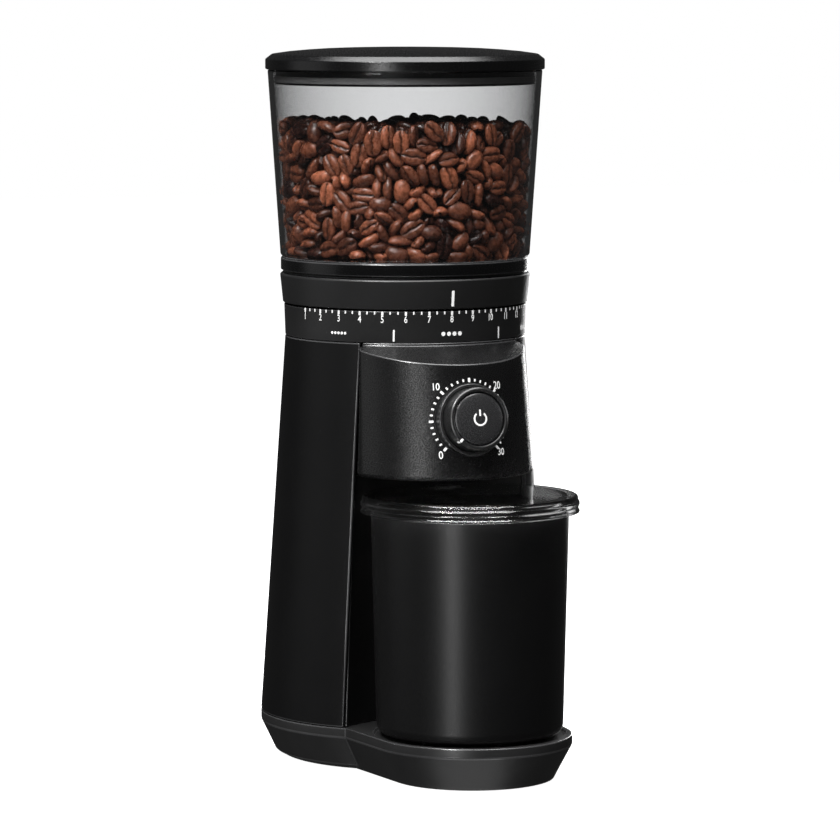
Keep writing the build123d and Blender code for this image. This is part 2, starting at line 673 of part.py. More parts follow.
with BuildPart() as control_board:
    control_plane = Plane(origin=(0, AXIS_Y - 73.5, 202), x_dir=(1, 0, 0), z_dir=(0, -1, 0))
    with BuildSketch(control_plane):
        Rectangle(46, 42)
        with GridLocations(40, 36, 2, 2):
            Circle(SCREW_R, mode=Mode.SUBTRACT)
    extrude(amount=1.6)
finish(control_board, "control_board")

with BuildPart() as cord_gland:
    with BuildSketch(gland_plane):
        Circle(GLAND_R)
        Circle(3.5, mode=Mode.SUBTRACT)
    extrude(amount=8.0)
finish(cord_gland, "cord_gland")

# ---------------------------------------------------------------- timer dial and start button
with BuildPart() as dial_bezel:
    with BuildSketch(dial_plane.offset(-8)):
        Circle(BEZEL_R)
    extrude(amount=10.3)
    with BuildSketch(dial_plane.offset(-5)):
        Circle(BEZEL_R - 1.7)
    extrude(amount=10, mode=Mode.SUBTRACT)
    with BuildSketch(dial_plane.offset(-6)):
        Circle(GUIDE_R)
    extrude(amount=10)
    with BuildSketch(dial_plane.offset(-9)):
        Circle(7.0)
    extrude(amount=20, mode=Mode.SUBTRACT)
finish(dial_bezel, "dial_bezel")

with BuildPart() as timer_dial:
    with BuildSketch(dial_plane.offset(-4)):
        Circle(DIAL_R + 0.4)
        Circle(BUTTON_R + 0.4, mode=Mode.SUBTRACT)
    extrude(amount=DIAL_FRONT + 4, taper=1.4)
    with BuildSketch(dial_plane.offset(-4)):
        Circle(BUTTON_R + 1)
        Circle(GUIDE_R + 0.06, mode=Mode.SUBTRACT)
    extrude(amount=4)
finish(timer_dial, "timer_dial")

with BuildPart() as start_button:
    with BuildSketch(dial_plane.offset(9.4)):
        Circle(BUTTON_R)
    extrude(amount=2.6)
    dome_plane = dial_plane.offset(12.0)
    with BuildSketch(dome_plane):
        Circle(BUTTON_R)
    extrude(amount=1.1, taper=55)
    with BuildSketch(dial_plane.offset(-6)):
        Circle(6.93)
    extrude(amount=16)
finish(start_button, "start_button")

# The coil is drawn at its pressed length, so it never meets the button.
SPRING_WIRE_R = 0.5
with BuildPart() as button_spring:
    for coil in range(3):
        with BuildSketch(dial_plane.offset(4.05 + 1.1 * coil)):
            Circle(7.9 + SPRING_WIRE_R)
            Circle(7.9 - SPRING_WIRE_R, mode=Mode.SUBTRACT)
        extrude(amount=1.0)
    with BuildSketch(dial_plane.offset(4.1)):
        with Locations((7.9, 0)):
            Circle(SPRING_WIRE_R)
    extrude(amount=3.1)
finish(button_spring, "button_spring")

with BuildPart() as timer_switch:
    with BuildSketch(dial_plane.offset(-8.2)):
        Circle(10)
    extrude(amount=-7)
finish(timer_switch, "timer_switch")

# ---------------------------------------------------------------- collar and hopper
with BuildPart() as grind_collar:
    collar_profile = [
        (62, COLLAR_BOTTOM),
        (COLLAR_BOTTOM_R, COLLAR_BOTTOM),
        (COLLAR_TOP_R, COLLAR_TOP - 0.6),
        (COLLAR_TOP_R - 0.6, COLLAR_TOP),
        (64, COLLAR_TOP),
        (64, 270),
        (47, 270),
        (SLEEVE_R, 269),
        (SLEEVE_R, 250.5),
        (47, 250.5),
        (47, 266.5),
        (62, 266.5),
    ]
    turn(collar_profile)
finish(grind_collar, "grind_collar")

NECK_R = 25.0
THROAT_Z = 272.5
SPIDER = 2.0
GATE_SPINDLE_R = 3.0


def throat_windows(z, thickness):
    """Two opposite quarter windows, left and right of the hub."""
    with BuildSketch(level(z)) as windows:
        Circle(NECK_R - 0.5)
        Circle(6.5, mode=Mode.SUBTRACT)
        with BuildLine() as fan:
            Polyline((0, 0), (60, 48), (60, -48), close=True)
        wedge = make_face(mode=Mode.PRIVATE)
        add(wedge, mode=Mode.INTERSECT)
    extrude(windows.sketch, amount=thickness, mode=Mode.SUBTRACT)
    extrude(windows.sketch.rotate(Axis((0, AXIS_Y, 0), (0, 0, 1)), 180), amount=thickness, mode=Mode.SUBTRACT)


with BuildPart() as hopper_base:
    hopper_base_profile = [
        (NECK_R, THROAT_Z),
        (NECK_R + 2.5, THROAT_Z),
        (NECK_R + 2.5, 275),
        (58, HOPPER_BASE_BOTTOM + 2.0),
        (61, 274),
        (63.4, 274),
        (63.4, HOPPER_BASE_BOTTOM),
        (71.2, HOPPER_BASE_BOTTOM),
        (71.2, HOPPER_BASE_BOTTOM + 1.6),
        (72.4, HOPPER_BASE_BOTTOM + 1.6),
        (72.4, HOPPER_BASE_TOP - 1.0),
        (71.4, HOPPER_BASE_TOP),
        (68, HOPPER_BASE_TOP),
        (NECK_R, 277.5),
    ]
    turn(hopper_base_profile)
    # Spider across the throat: two open windows and a hub for the gate's spindle.
    with BuildSketch(level(THROAT_Z)):
        Circle(NECK_R + 1)
        Circle(GATE_SPINDLE_R + BUSH_GAP, mode=Mode.SUBTRACT)
    extrude(amount=SPIDER)
    throat_windows(THROAT_Z, SPIDER)
finish(hopper_base, "hopper_base")

with BuildPart() as hopper:
    hopper_profile = [
        (HOPPER_LOW_R - HOPPER_WALL, HOPPER_BASE_TOP + 0.05),
        (HOPPER_LOW_R - 1.2, HOPPER_BASE_TOP + 0.05),
        (HOPPER_LOW_R, HOPPER_BASE_TOP + 1.2),
        (HOPPER_HIGH_R, HOPPER_TOP),
        (HOPPER_HIGH_R - HOPPER_WALL, HOPPER_TOP),
    ]
    turn(hopper_profile)
finish(hopper, "hopper")

GATE_LOW, GATE_TOP = 270.6, 272.1
with BuildPart() as hopper_gate:
    ring(GATE_LOW, GATE_TOP, NECK_R + 1.5)
    throat_windows(GATE_LOW, GATE_TOP - GATE_LOW)
    ring(GATE_LOW, 283.0, GATE_SPINDLE_R)
finish(hopper_gate, "hopper_gate")

with BuildPart() as gate_handle:
    ring(275.0, 283.0, 7.0, GATE_SPINDLE_R)
    with BuildSketch(level(283.0)):
        SlotOverall(38, 9)
    extrude(amount=12)
    fillet(gate_handle.faces().sort_by(Axis.Z)[-1].edges(), radius=2)
finish(gate_handle, "gate_handle")

PLUG_R = 75.2
PLUG_BOTTOM = 392.0
with BuildPart() as hopper_lid:
    lid_profile = [
        (0, LID_TOP),
        *LID_DOME,
        (LID_SHOULDER_R, LID_SHOULDER),
        (LID_R, LID_BAND_TOP),
        (LID_R, LID_BOTTOM + 0.4),
        (LID_R - 0.6, LID_BOTTOM),
        (PLUG_R, LID_BOTTOM),
        (PLUG_R, PLUG_BOTTOM + 5.2),
        (PLUG_R - 1.2, PLUG_BOTTOM + 5.2),
        (PLUG_R - 1.2, PLUG_BOTTOM + 1.0),
        (PLUG_R, PLUG_BOTTOM + 1.0),
        (PLUG_R, PLUG_BOTTOM),
        (PLUG_R - 3.2, PLUG_BOTTOM),
        (PLUG_R - 3.2, LID_BAND_TOP - 0.5),
        (0, LID_TOP - 3.2),
    ]
    turn(lid_profile)
finish(hopper_lid, "hopper_lid")

with BuildPart() as lid_seal:
    ring(PLUG_BOTTOM + 1.3, PLUG_BOTTOM + 4.9, PLUG_R + 0.7, PLUG_R - 1.1)
finish(lid_seal, "lid_seal")

# ---------------------------------------------------------------- grounds container
with BuildPart() as grounds_container:
    container_profile = [
        (0, CONTAINER_BOTTOM),
        (CONTAINER_LOW_R - 4, CONTAINER_BOTTOM),
        (CONTAINER_LOW_R - 1.2, CONTAINER_BOTTOM + 1.2),
        (CONTAINER_LOW_R, CONTAINER_BOTTOM + 4),
        (CONTAINER_HIGH_R, CONTAINER_TOP),
        (CONTAINER_HIGH_R - CONTAINER_WALL, CONTAINER_TOP),
        (CONTAINER_LOW_R - CONTAINER_WALL, CONTAINER_BOTTOM + 4),
        (CONTAINER_LOW_R - 4.5, CONTAINER_BOTTOM + CONTAINER_WALL),
        (0, CONTAINER_BOTTOM + CONTAINER_WALL),
    ]
    turn(container_profile, y=CONTAINER_Y)
finish(grounds_container, "grounds_container")

CAP_WALL = 2.2
CAP_HOLE_R = 13.0
with BuildPart() as container_lid:
    cap_profile = [
        (0, CAP_TOP),
        (CAP_R - 2.2, CAP_TOP),
        (CAP_R - 0.8, CAP_TOP - 0.6),
        (CAP_R, CAP_TOP - 2.2),
        (CAP_R, CAP_BOTTOM + 0.4),
        (CAP_R - 0.4, CAP_BOTTOM),
        (CAP_R - CAP_WALL, CAP_BOTTOM),
        (CAP_R - CAP_WALL, CAP_TOP - 3.6),
        (CONTAINER_HIGH_R - CONTAINER_WALL - 0.4, CAP_TOP - 3.6),
        (CONTAINER_HIGH_R - CONTAINER_WALL - 0.4, CAP_BOTTOM - 5),
        (CONTAINER_HIGH_R - CONTAINER_WALL - 2.4, CAP_BOTTOM - 5),
        (CONTAINER_HIGH_R - CONTAINER_WALL - 2.4, CAP_TOP - 2.4),
        (0, CAP_TOP - 2.4),
    ]
    turn(cap_profile, y=CONTAINER_Y)
    ring(CAP_BOTTOM, CAP_TOP + 1, CAP_HOLE_R, y=CHUTE_Y, mode=Mode.SUBTRACT)
finish(container_lid, "container_lid")


# ---------------------------------------------------------------- fasteners
def screws(plane, spots, length, name):
    """Pan-head screws standing on a plane, their shanks behind it."""
    with BuildPart() as group:
        with BuildSketch(plane):
            with Locations(*spots):
                Circle(2.8)
        extrude(amount=1.6)
        with BuildSketch(plane):
            with Locations(*spots):
                Circle(SCREW_R - 0.05)
        extrude(amount=-length)
        with BuildSketch(plane.offset(1.6)):
            with Locations(*spots):
                RectangleRounded(3.2, 0.7, 0.2)
                RectangleRounded(0.7, 3.2, 0.2)
        extrude(amount=-0.8, mode=Mode.SUBTRACT)
    finish(group, name)


def on_circle(radius, count, start, y=0.0):
    """Points evenly round a circle about the burr axis, or about a centre at y."""
    angles = [math.radians(start + 360 * number / count) for number in range(count)]
    return [(radius * math.cos(angle), y + radius * math.sin(angle)) for angle in angles]


under_deck = Plane(origin=(0, AXIS_Y, DECK_BOTTOM), x_dir=(1, 0, 0), z_dir=(0, 0, -1))
screws(under_deck, on_circle(CHAMBER_SCREW_R, 4, 45), 5.4, "chamber_screws")
screws(level(MOUNT_LOW + 3), MOTOR_SCREW_SPOTS, 6.5, "motor_screws")
screws(level(DECK_TOP), POST_SPOTS, 12, "deck_screws")
board_spots = [(x, y) for x in (-20, 20) for y in (-18, 18)]
screws(control_plane.offset(1.6), board_spots, 6, "board_screws")
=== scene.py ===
import json
import math

import bmesh
import bpy
import numpy as np
from mathutils import Matrix, Vector
from mathutils.bvhtree import BVHTree

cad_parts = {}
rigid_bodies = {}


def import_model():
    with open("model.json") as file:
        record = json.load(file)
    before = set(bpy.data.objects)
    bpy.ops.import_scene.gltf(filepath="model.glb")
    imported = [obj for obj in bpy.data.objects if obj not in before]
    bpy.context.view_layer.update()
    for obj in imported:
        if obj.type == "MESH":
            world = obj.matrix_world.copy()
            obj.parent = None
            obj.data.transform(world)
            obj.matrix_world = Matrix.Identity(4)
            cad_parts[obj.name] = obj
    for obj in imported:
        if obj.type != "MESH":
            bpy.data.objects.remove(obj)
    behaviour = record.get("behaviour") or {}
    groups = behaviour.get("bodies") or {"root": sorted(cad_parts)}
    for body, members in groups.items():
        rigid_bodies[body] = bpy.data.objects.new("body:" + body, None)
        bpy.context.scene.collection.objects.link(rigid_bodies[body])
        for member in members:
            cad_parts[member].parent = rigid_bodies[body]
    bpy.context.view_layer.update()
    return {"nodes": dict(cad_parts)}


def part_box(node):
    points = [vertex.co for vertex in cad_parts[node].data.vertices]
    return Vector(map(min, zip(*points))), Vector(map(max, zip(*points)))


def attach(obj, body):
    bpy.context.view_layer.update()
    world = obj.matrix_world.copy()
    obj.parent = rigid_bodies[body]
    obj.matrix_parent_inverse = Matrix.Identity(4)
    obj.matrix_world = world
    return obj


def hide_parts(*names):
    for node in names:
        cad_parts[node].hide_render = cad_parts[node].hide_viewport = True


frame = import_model()
MM = 0.001

# ---------------------------------------------------------------- places, from the frame
LID_LOW, LID_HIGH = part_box("hopper_lid")
AXIS_Y = (LID_LOW[1] + LID_HIGH[1]) / 2  # the burr axis: everything round turns about it
CAN_LOW, CAN_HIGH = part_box("grounds_container")
CAN_Y = (CAN_LOW[1] + CAN_HIGH[1]) / 2
DIAL_TILT = math.radians(8)
DIAL_FORWARD, DIAL_HEIGHT = 98.7 * MM, 204.7 * MM  # the dial's centre, in front of the burr axis
DIAL_CENTRE = Vector((0, AXIS_Y - DIAL_FORWARD, DIAL_HEIGHT))
DIAL_RIGHT = Vector((1, 0, 0))
DIAL_UP = Vector((0, math.sin(DIAL_TILT), math.cos(DIAL_TILT)))
DIAL_OUT = Vector((0, -math.cos(DIAL_TILT), math.sin(DIAL_TILT)))

BURR_AXIS = Matrix.Translation((0, AXIS_Y, 0))
CAN_AXIS = Matrix.Translation((0, CAN_Y, 0))
DIAL_TURN = Matrix((DIAL_RIGHT, DIAL_UP, DIAL_OUT)).transposed().to_4x4()
DIAL_AXIS = Matrix.Translation(DIAL_CENTRE) @ DIAL_TURN


# ---------------------------------------------------------------- material building blocks
MIX_FACTOR, MIX_A, MIX_B, MIX_RESULT = 0, 6, 7, 2  # the colour sockets of a Mix node
LESS_ROUGH, MORE_ROUGH = 0.05, 0.06  # roughness varies this far below and above a material's own


def new_material(name):
    """An empty node material with one Principled shader."""
    material = bpy.data.materials.new(name)
    material.use_nodes = True
    nodes = material.node_tree.nodes
    nodes.clear()
    output = nodes.new("ShaderNodeOutputMaterial")
    shader = nodes.new("ShaderNodeBsdfPrincipled")
    material.node_tree.links.new(shader.outputs["BSDF"], output.inputs["Surface"])
    return material, nodes, material.node_tree.links, shader


def noise(nodes, links, scale, detail, roughness=0.5, stretch=(1, 1, 1)):
    """Noise over object space, in features per metre, stretched if asked."""
    where = nodes.new("ShaderNodeTexCoord")
    mapping = nodes.new("ShaderNodeMapping")
    mapping.inputs["Scale"].default_value = stretch
    texture = nodes.new("ShaderNodeTexNoise")
    texture.inputs["Scale"].default_value = scale
    texture.inputs["Detail"].default_value = detail
    texture.inputs["Roughness"].default_value = roughness
    links.new(where.outputs["Object"], mapping.inputs["Vector"])
    links.new(mapping.outputs["Vector"], texture.inputs["Vector"])
    return texture.outputs["Fac"]


def span(nodes, links, source, low, high):
    """A noise value stretched to run from low to high: most noise lies between 0.3 and 0.7."""
    ranges = nodes.new("ShaderNodeMapRange")
    ranges.inputs["From Min"].default_value = 0.3
    ranges.inputs["From Max"].default_value = 0.7
    ranges.inputs["To Min"].default_value = low
    ranges.inputs["To Max"].default_value = high
    links.new(source, ranges.inputs["Value"])
    return ranges.outputs["Result"]


def colour_mix(nodes, kind="MIX"):
    """A Mix node for colours."""
    mix = nodes.new("ShaderNodeMix")
    mix.data_type = "RGBA"
    mix.blend_type = kind
    return mix


def blend_colour(nodes, links, factor, first, second):
    """Mix of two plain colours by a factor."""
    mix = colour_mix(nodes)
    mix.inputs[MIX_A].default_value = (*first, 1)
    mix.inputs[MIX_B].default_value = (*second, 1)
    links.new(factor, mix.inputs[MIX_FACTOR])
    return mix.outputs[MIX_RESULT]


def attribute(nodes, name):
    """A value stored on a mesh's points."""
    stored = nodes.new("ShaderNodeAttribute")
    stored.attribute_name = name
    return stored.outputs["Fac"]


def bump(nodes, links, shader, height, strength, distance):
    """Relief from a height value; distance in metres."""
    relief = nodes.new("ShaderNodeBump")
    relief.inputs["Strength"].default_value = strength
    relief.inputs["Distance"].default_value = distance
    links.new(height, relief.inputs["Height"])
    links.new(relief.outputs["Normal"], shader.inputs["Normal"])


def vary(nodes, links, shader, broad, fine, dark, light, rough):
    """Base colour that follows a broad noise value, and roughness that follows a fine one."""
    colour = blend_colour(nodes, links, span(nodes, links, broad, 0, 1), dark, light)
    roughness = span(nodes, links, fine, rough - LESS_ROUGH, rough + MORE_ROUGH)
    links.new(colour, shader.inputs["Base Color"])
    links.new(roughness, shader.inputs["Roughness"])


def moulded(name, dark, light, rough, grain, depth, gloss=0.5):
    """Moulded or painted surface: fine spark texture in relief and sheen, and faint broad variation."""
    material, nodes, links, shader = new_material(name)
    broad = noise(nodes, links, scale=28, detail=2)
    speckle = noise(nodes, links, scale=grain, detail=2, roughness=0.6)
    vary(nodes, links, shader, broad, speckle, dark, light, rough)
    bump(nodes, links, shader, speckle, 0.6, depth)
    shader.inputs["Specular IOR Level"].default_value = gloss
    return material


def metal(name, dark, light, rough, stretch=(1, 1, 1)):
    """Turned, ground or plated metal, brushed one way by the stretch."""
    material, nodes, links, shader = new_material(name)
    streaks = noise(nodes, links, scale=400, detail=4, roughness=0.6, stretch=stretch)
    vary(nodes, links, shader, streaks, streaks, dark, light, rough)
    bump(nodes, links, shader, streaks, 0.25, 0.00002)
    shader.inputs["Metallic"].default_value = 1.0
    return material


def clear(name, face_on, edge_on, rough, passing, density, grain=0.0):
    """Clear or smoked plastic, darker where it is seen along the wall: its smoke absorbs more along the
    longer path, and a painted shade darkens its colour towards the edge-on sides; lamps shine through it.
    """
    material, nodes, links, shader = new_material(name)
    flow = noise(nodes, links, scale=40, detail=2)
    # painted shade: the colour darkens as the wall is seen more edge-on
    weight = nodes.new("ShaderNodeLayerWeight")
    weight.inputs["Blend"].default_value = 0.5
    colour = blend_colour(nodes, links, weight.outputs["Facing"], face_on, edge_on)
    links.new(colour, shader.inputs["Base Color"])
    links.new(span(nodes, links, flow, rough, rough + 0.015), shader.inputs["Roughness"])
    if grain:
        bump(nodes, links, shader, noise(nodes, links, scale=1100, detail=2, roughness=0.6), 0.5, grain)
    shader.inputs["Transmission Weight"].default_value = 1.0
    shader.inputs["IOR"].default_value = 1.5
    through = nodes.new("ShaderNodeBsdfTransparent")
    through.inputs["Color"].default_value = (*passing, 1)
    path = nodes.new("ShaderNodeLightPath")
    mix = nodes.new("ShaderNodeMixShader")
    links.new(path.outputs["Is Shadow Ray"], mix.inputs[0])
    links.new(shader.outputs["BSDF"], mix.inputs[1])
    links.new(through.outputs["BSDF"], mix.inputs[2])
    smoke = nodes.new("ShaderNodeVolumeAbsorption")
    smoke.inputs["Color"].default_value = (0.02, 0.01, 0.0, 1)
    smoke.inputs["Density"].default_value = density
    output = next(node for node in nodes if node.type == "OUTPUT_MATERIAL")
    links.new(mix.outputs["Shader"], output.inputs["Surface"])
    links.new(smoke.outputs["Volume"], output.inputs["Volume"])
    return material


BEAN_DARK, BEAN_LIGHT = (0.022, 0.007, 0.005), (0.40, 0.132, 0.068)
MOTTLE_DARK, MOTTLE_LIGHT = (0.3, 0.27, 0.25), (1.5, 1.42, 1.35)  # these multiply the bean's colour
# painted shade: colour of the crease and of beans deep behind the wall
BEAN_PAINTED_SHADE = (0.012, 0.004, 0.0025)


def roasted():
    """Roasted bean: colour by bean, mottled, with painted shade in its crease and deep between the beans,
    fine wrinkles and an oily sheen.
    """
    material, nodes, links, shader = new_material("roasted_bean")
    mottle = noise(nodes, links, scale=380, detail=3, roughness=0.6)
    by_bean = blend_colour(nodes, links, attribute(nodes, "tone"), BEAN_DARK, BEAN_LIGHT)
    patches = blend_colour(nodes, links, span(nodes, links, mottle, 0, 1), MOTTLE_DARK, MOTTLE_LIGHT)
    mottled = colour_mix(nodes, "MULTIPLY")
    mottled.inputs[MIX_FACTOR].default_value = 0.8
    links.new(by_bean, mottled.inputs[MIX_A])
    links.new(patches, mottled.inputs[MIX_B])
    painted_shade_mix = colour_mix(nodes)  # painted shade: dark in the crease and deep between the beans
    painted_shade_mix.inputs[MIX_B].default_value = (*BEAN_PAINTED_SHADE, 1)
    links.new(attribute(nodes, "crease"), painted_shade_mix.inputs[MIX_FACTOR])
    links.new(mottled.outputs[MIX_RESULT], painted_shade_mix.inputs[MIX_A])
    links.new(painted_shade_mix.outputs[MIX_RESULT], shader.inputs["Base Color"])
    links.new(span(nodes, links, mottle, 0.2, 0.36), shader.inputs["Roughness"])
    wrinkle = noise(nodes, links, scale=800, detail=3, roughness=0.6)
    bump(nodes, links, shader, wrinkle, 0.8, 0.00028)
    return material


def ink(name, colour):
    """Printed marking, slightly uneven, that glows a little so that it stays white in shade."""
    material, nodes, links, shader = new_material(name)
    grain = noise(nodes, links, scale=1500, detail=2)
    dim = tuple(0.9 * channel for channel in colour)
    tone = blend_colour(nodes, links, span(nodes, links, grain, 0, 1), dim, colour)
    links.new(tone, shader.inputs["Base Color"])
    links.new(span(nodes, links, grain, 0.45, 0.6), shader.inputs["Roughness"])
    shader.inputs["Emission Color"].default_value = (1, 1, 1, 1)
    shader.inputs["Emission Strength"].default_value = 0.3
    return material


def grey(value, blue=0.0):
    """A neutral colour, with a touch more blue if asked."""
    return (value, value, value + blue)


# Colours are linear light, grain is in features per metre and depth in metres.
MATERIALS = {
    "cover": moulded("cover_satin", grey(0.0022, 0.0002), grey(0.0032, 0.0002),
                     rough=0.42, grain=1400, depth=0.00004, gloss=0.25),
    "recess": moulded("recess_satin", grey(0.004), grey(0.0055),
                      rough=0.5, grain=1400, depth=0.00004, gloss=0.25),
    "panel": moulded("panel_spark", grey(0.004, 0.0002), grey(0.0065, 0.0002),
                     rough=0.27, grain=1500, depth=0.00025, gloss=0.5),
    "base": moulded("base_satin", grey(0.014, 0.0003), grey(0.02, 0.0003),
                    rough=0.38, grain=1300, depth=0.00006, gloss=0.55),
    "ring": moulded("ring_satin", grey(0.010, 0.0003), grey(0.014, 0.0003),
                    rough=0.42, grain=1500, depth=0.00003, gloss=0.8),
    "lid": moulded("lid_satin", grey(0.0025, 0.0002), grey(0.0035, 0.0002),
                   rough=0.23, grain=1600, depth=0.00012, gloss=0.5),
    "dial": moulded("dial_satin", grey(0.010, 0.0003), grey(0.014, 0.0003),
                    rough=0.3, grain=1500, depth=0.00003, gloss=0.8),
    "button": moulded("button_gloss", grey(0.02, 0.001), grey(0.026, 0.001),
                      rough=0.26, grain=1500, depth=0.00002, gloss=0.8),
    "can": moulded("painted_can", grey(0.0025, 0.0002), grey(0.0035, 0.0002),
                   rough=0.37, grain=1800, depth=0.00003, gloss=0.45),
    # painted highlight: eased edges much paler than the faces, for light caught along them
    "edge": moulded("edge_painted_highlight", grey(0.035, 0.001), grey(0.07, 0.002),
                    rough=0.22, grain=900, depth=0.00004, gloss=1.0),
    "rubber": moulded("foot_rubber", grey(0.010), grey(0.018), rough=0.8, grain=900, depth=0.00006),
    "seal": moulded("seal_rubber", grey(0.05), grey(0.08), rough=0.6, grain=900, depth=0.00004),
    "nylon": moulded("gear_nylon", (0.55, 0.53, 0.48), (0.68, 0.66, 0.6),
                     rough=0.45, grain=700, depth=0.00005),
    "ferrite": moulded("ferrite", grey(0.03, 0.005), grey(0.06, 0.005),
                       rough=0.6, grain=500, depth=0.00008),
    "board": moulded("circuit_board", (0.01, 0.07, 0.03), (0.02, 0.12, 0.05),
                     rough=0.35, grain=300, depth=0.00003),
    "steel": metal("ground_steel", (0.35, 0.35, 0.36), (0.62, 0.62, 0.63), rough=0.28, stretch=(1, 1, 6)),
    "zinc": metal("zinc_plate", (0.42, 0.43, 0.45), (0.6, 0.61, 0.62), rough=0.4),
    "bronze": metal("sintered_bronze", (0.4, 0.24, 0.1), (0.6, 0.38, 0.17), rough=0.42),
    "copper": metal("wound_copper", (0.5, 0.2, 0.09), (0.75, 0.36, 0.18), rough=0.35, stretch=(1, 1, 8)),
    "hopper": clear("hopper_clear", (0.9, 0.905, 0.91), grey(0.2),
                    rough=0.0, passing=grey(0.93), density=10),
    "cap": clear("cap_clear", (0.97, 0.972, 0.975), grey(0.85),
                 rough=0.015, passing=grey(0.95), density=3, grain=0.00003),
    "bean": roasted(),
    "white": ink("white_ink", (0.85, 0.85, 0.84)),
}

NODE_MATERIALS = {
    "cover": ["rear_cover"],
    "recess": ["column_wall", "grounds_chute", "grinding_chamber", "top_deck", "head_plate"],
    "panel": ["front_panel"],
    "base": ["base_housing", "base_plate"],
    "ring": ["scale_ring", "burr_carrier", "hopper_gate", "gate_handle"],
    "lid": ["hopper_base"],
    "dial": ["dial_bezel", "timer_switch"],
    "seal": ["lid_seal", "cord_gland"],
    "nylon": ["drive_gear", "gear_case", "gear_case_cover", "impeller"],
    "steel": ["ring_burr", "cone_burr", "burr_shaft"],
    "zinc": ["motor_can", "motor_end_cap", "motor_mount", "button_spring",
             "board_screws", "chamber_screws", "deck_screws", "motor_screws"],
    "bronze": ["upper_bearing", "lower_bearing", "motor_pinion"],
    "copper": ["motor_rotor"],
    "ferrite": ["motor_magnets"],
    "board": ["power_board", "control_board"],
}


def clothe(obj, key):
    """Give an object one material throughout."""
    obj.data.materials.clear()
    obj.data.materials.append(MATERIALS[key])


def clothe_nodes():
    """Materials of the CAD nodes, both those in sight and those inside."""
    for key, names in NODE_MATERIALS.items():
        for name in names:
            clothe(frame["nodes"][name], key)
    for name, node in frame["nodes"].items():
        if name.startswith("foot_"):
            clothe(node, "rubber")
        if name.startswith("frame_post"):
            clothe(node, "zinc")


# ---------------------------------------------------------------- mesh building
def finished(shape, name):
    """The mesh of a bmesh, which is freed."""
    mesh = bpy.data.meshes.new(name)
    shape.to_mesh(mesh)
    shape.free()
    return mesh


def add_piece(name, mesh, body, key, place=None):
    """Link a mesh as a piece that rides on a body."""
    if place is not None:
        mesh.transform(place)
    mesh.validate()
    piece = bpy.data.objects.new(name, mesh)
    bpy.context.scene.collection.objects.link(piece)
    clothe(piece, key)
    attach(piece, body)
    return piece


EASE_STEPS = 3
MOST_OF_SIDE = 0.48  # one corner's easing takes at most this share of a side


def eased(corners):
    """Closed outline with each corner (r, z, ease) rounded off by its ease, in mm."""
    outline = []
    count = len(corners)
    for index, (r, z, ease) in enumerate(corners):
        here = Vector((r, z))
        if ease == 0:
            outline.append(here)
            continue
        before = Vector(corners[index - 1][:2]) - here
        after = Vector(corners[(index + 1) % count][:2]) - here
        start = here + before.normalized() * min(ease, before.length * MOST_OF_SIDE)
        end = here + after.normalized() * min(ease, after.length * MOST_OF_SIDE)
        for step in range(EASE_STEPS + 1):
            t = step / EASE_STEPS
            outline.append(start * (1 - t) ** 2 + here * (2 * t * (1 - t)) + end * t ** 2)
    return outline


def lathe(name, corners, segments):
    """Mesh turned about +Z from a closed outline; points at radius 0 close it on the axis."""
    angles = [2 * math.pi * index / segments for index in range(segments)]
    shape = bmesh.new()
    rings = []
    for point in eased(corners):
        reach, height = point.x * MM, point.y * MM
        if reach == 0:
            rings.append([shape.verts.new((0, 0, height))] * segments)
            continue
        ring = [shape.verts.new((reach * math.cos(a), reach * math.sin(a), height)) for a in angles]
        rings.append(ring)
    for index, first in enumerate(rings):
        second = rings[(index + 1) % len(rings)]
        if first[0] is first[1] and second[0] is second[1]:
            continue
        for k in range(segments):
            after = (k + 1) % segments
            corners_round = [first[k], first[after], second[after], second[k]]
            shape.faces.new(list(dict.fromkeys(corners_round)))
    bmesh.ops.recalc_face_normals(shape, faces=shape.faces)
    mesh = finished(shape, name)
    mesh.shade_smooth()
    return mesh


def weigh_normals(piece):
    """Keep flat areas looking flat beside small eased edges."""
    weighted = piece.modifiers.new("weighted", "WEIGHTED_NORMAL")
    weighted.weight = 90


def turned(name, node, corners, place, body, key, segments):
    """A turned piece that stands for a CAD node."""
    piece = add_piece(name, lathe(name, corners, segments), body, key, place)
    weigh_normals(piece)
    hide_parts(node)


EASED_NODES = {  # edge easing in mm, and the least angle of an edge that gets it
    "front_panel": (0.5, 30),
    "rear_cover": (0.7, 30),
    "base_housing": (0.7, 16),
    "column_wall": (0.4, 30),
    "hopper_base": (0.4, 30),
    "scale_ring": (0.4, 30),
    "dial_bezel": (0.4, 30),
}
WELD_REACH = 0.005 * MM  # points of a CAD mesh this close together are one
EDGE_HIGHLIGHT_SLOT = 1  # a CAD node's second material is the painted highlight on its eased edges


def ease_node(name, width, least_angle):
    """Small eased edges on a CAD node, rounded, in a paler material that is a painted highlight along
    them.
    """
    node = frame["nodes"][name]
    node.data.materials.append(MATERIALS["edge"])
    weld = node.modifiers.new("weld", "WELD")
    weld.merge_threshold = WELD_REACH
    bevel = node.modifiers.new("ease", "BEVEL")
    bevel.width = width * MM
    bevel.segments = 2
    bevel.material = EDGE_HIGHLIGHT_SLOT
    bevel.limit_method = "ANGLE"
    bevel.angle_limit = math.radians(least_angle)
    bevel.use_clamp_overlap = False
    weigh_normals(node)


# ---------------------------------------------------------------- turned pieces, outlines in mm
COLLAR_LOW_R, COLLAR_LOW_Z = 71.2, 265.5
COLLAR_HIGH_R, COLLAR_HIGH_Z = 72.85, 281.6
DIAL_FACE_Z = 12.3  # above the dial's centre, along its axis
BUTTON_TOP_Z = 13.05


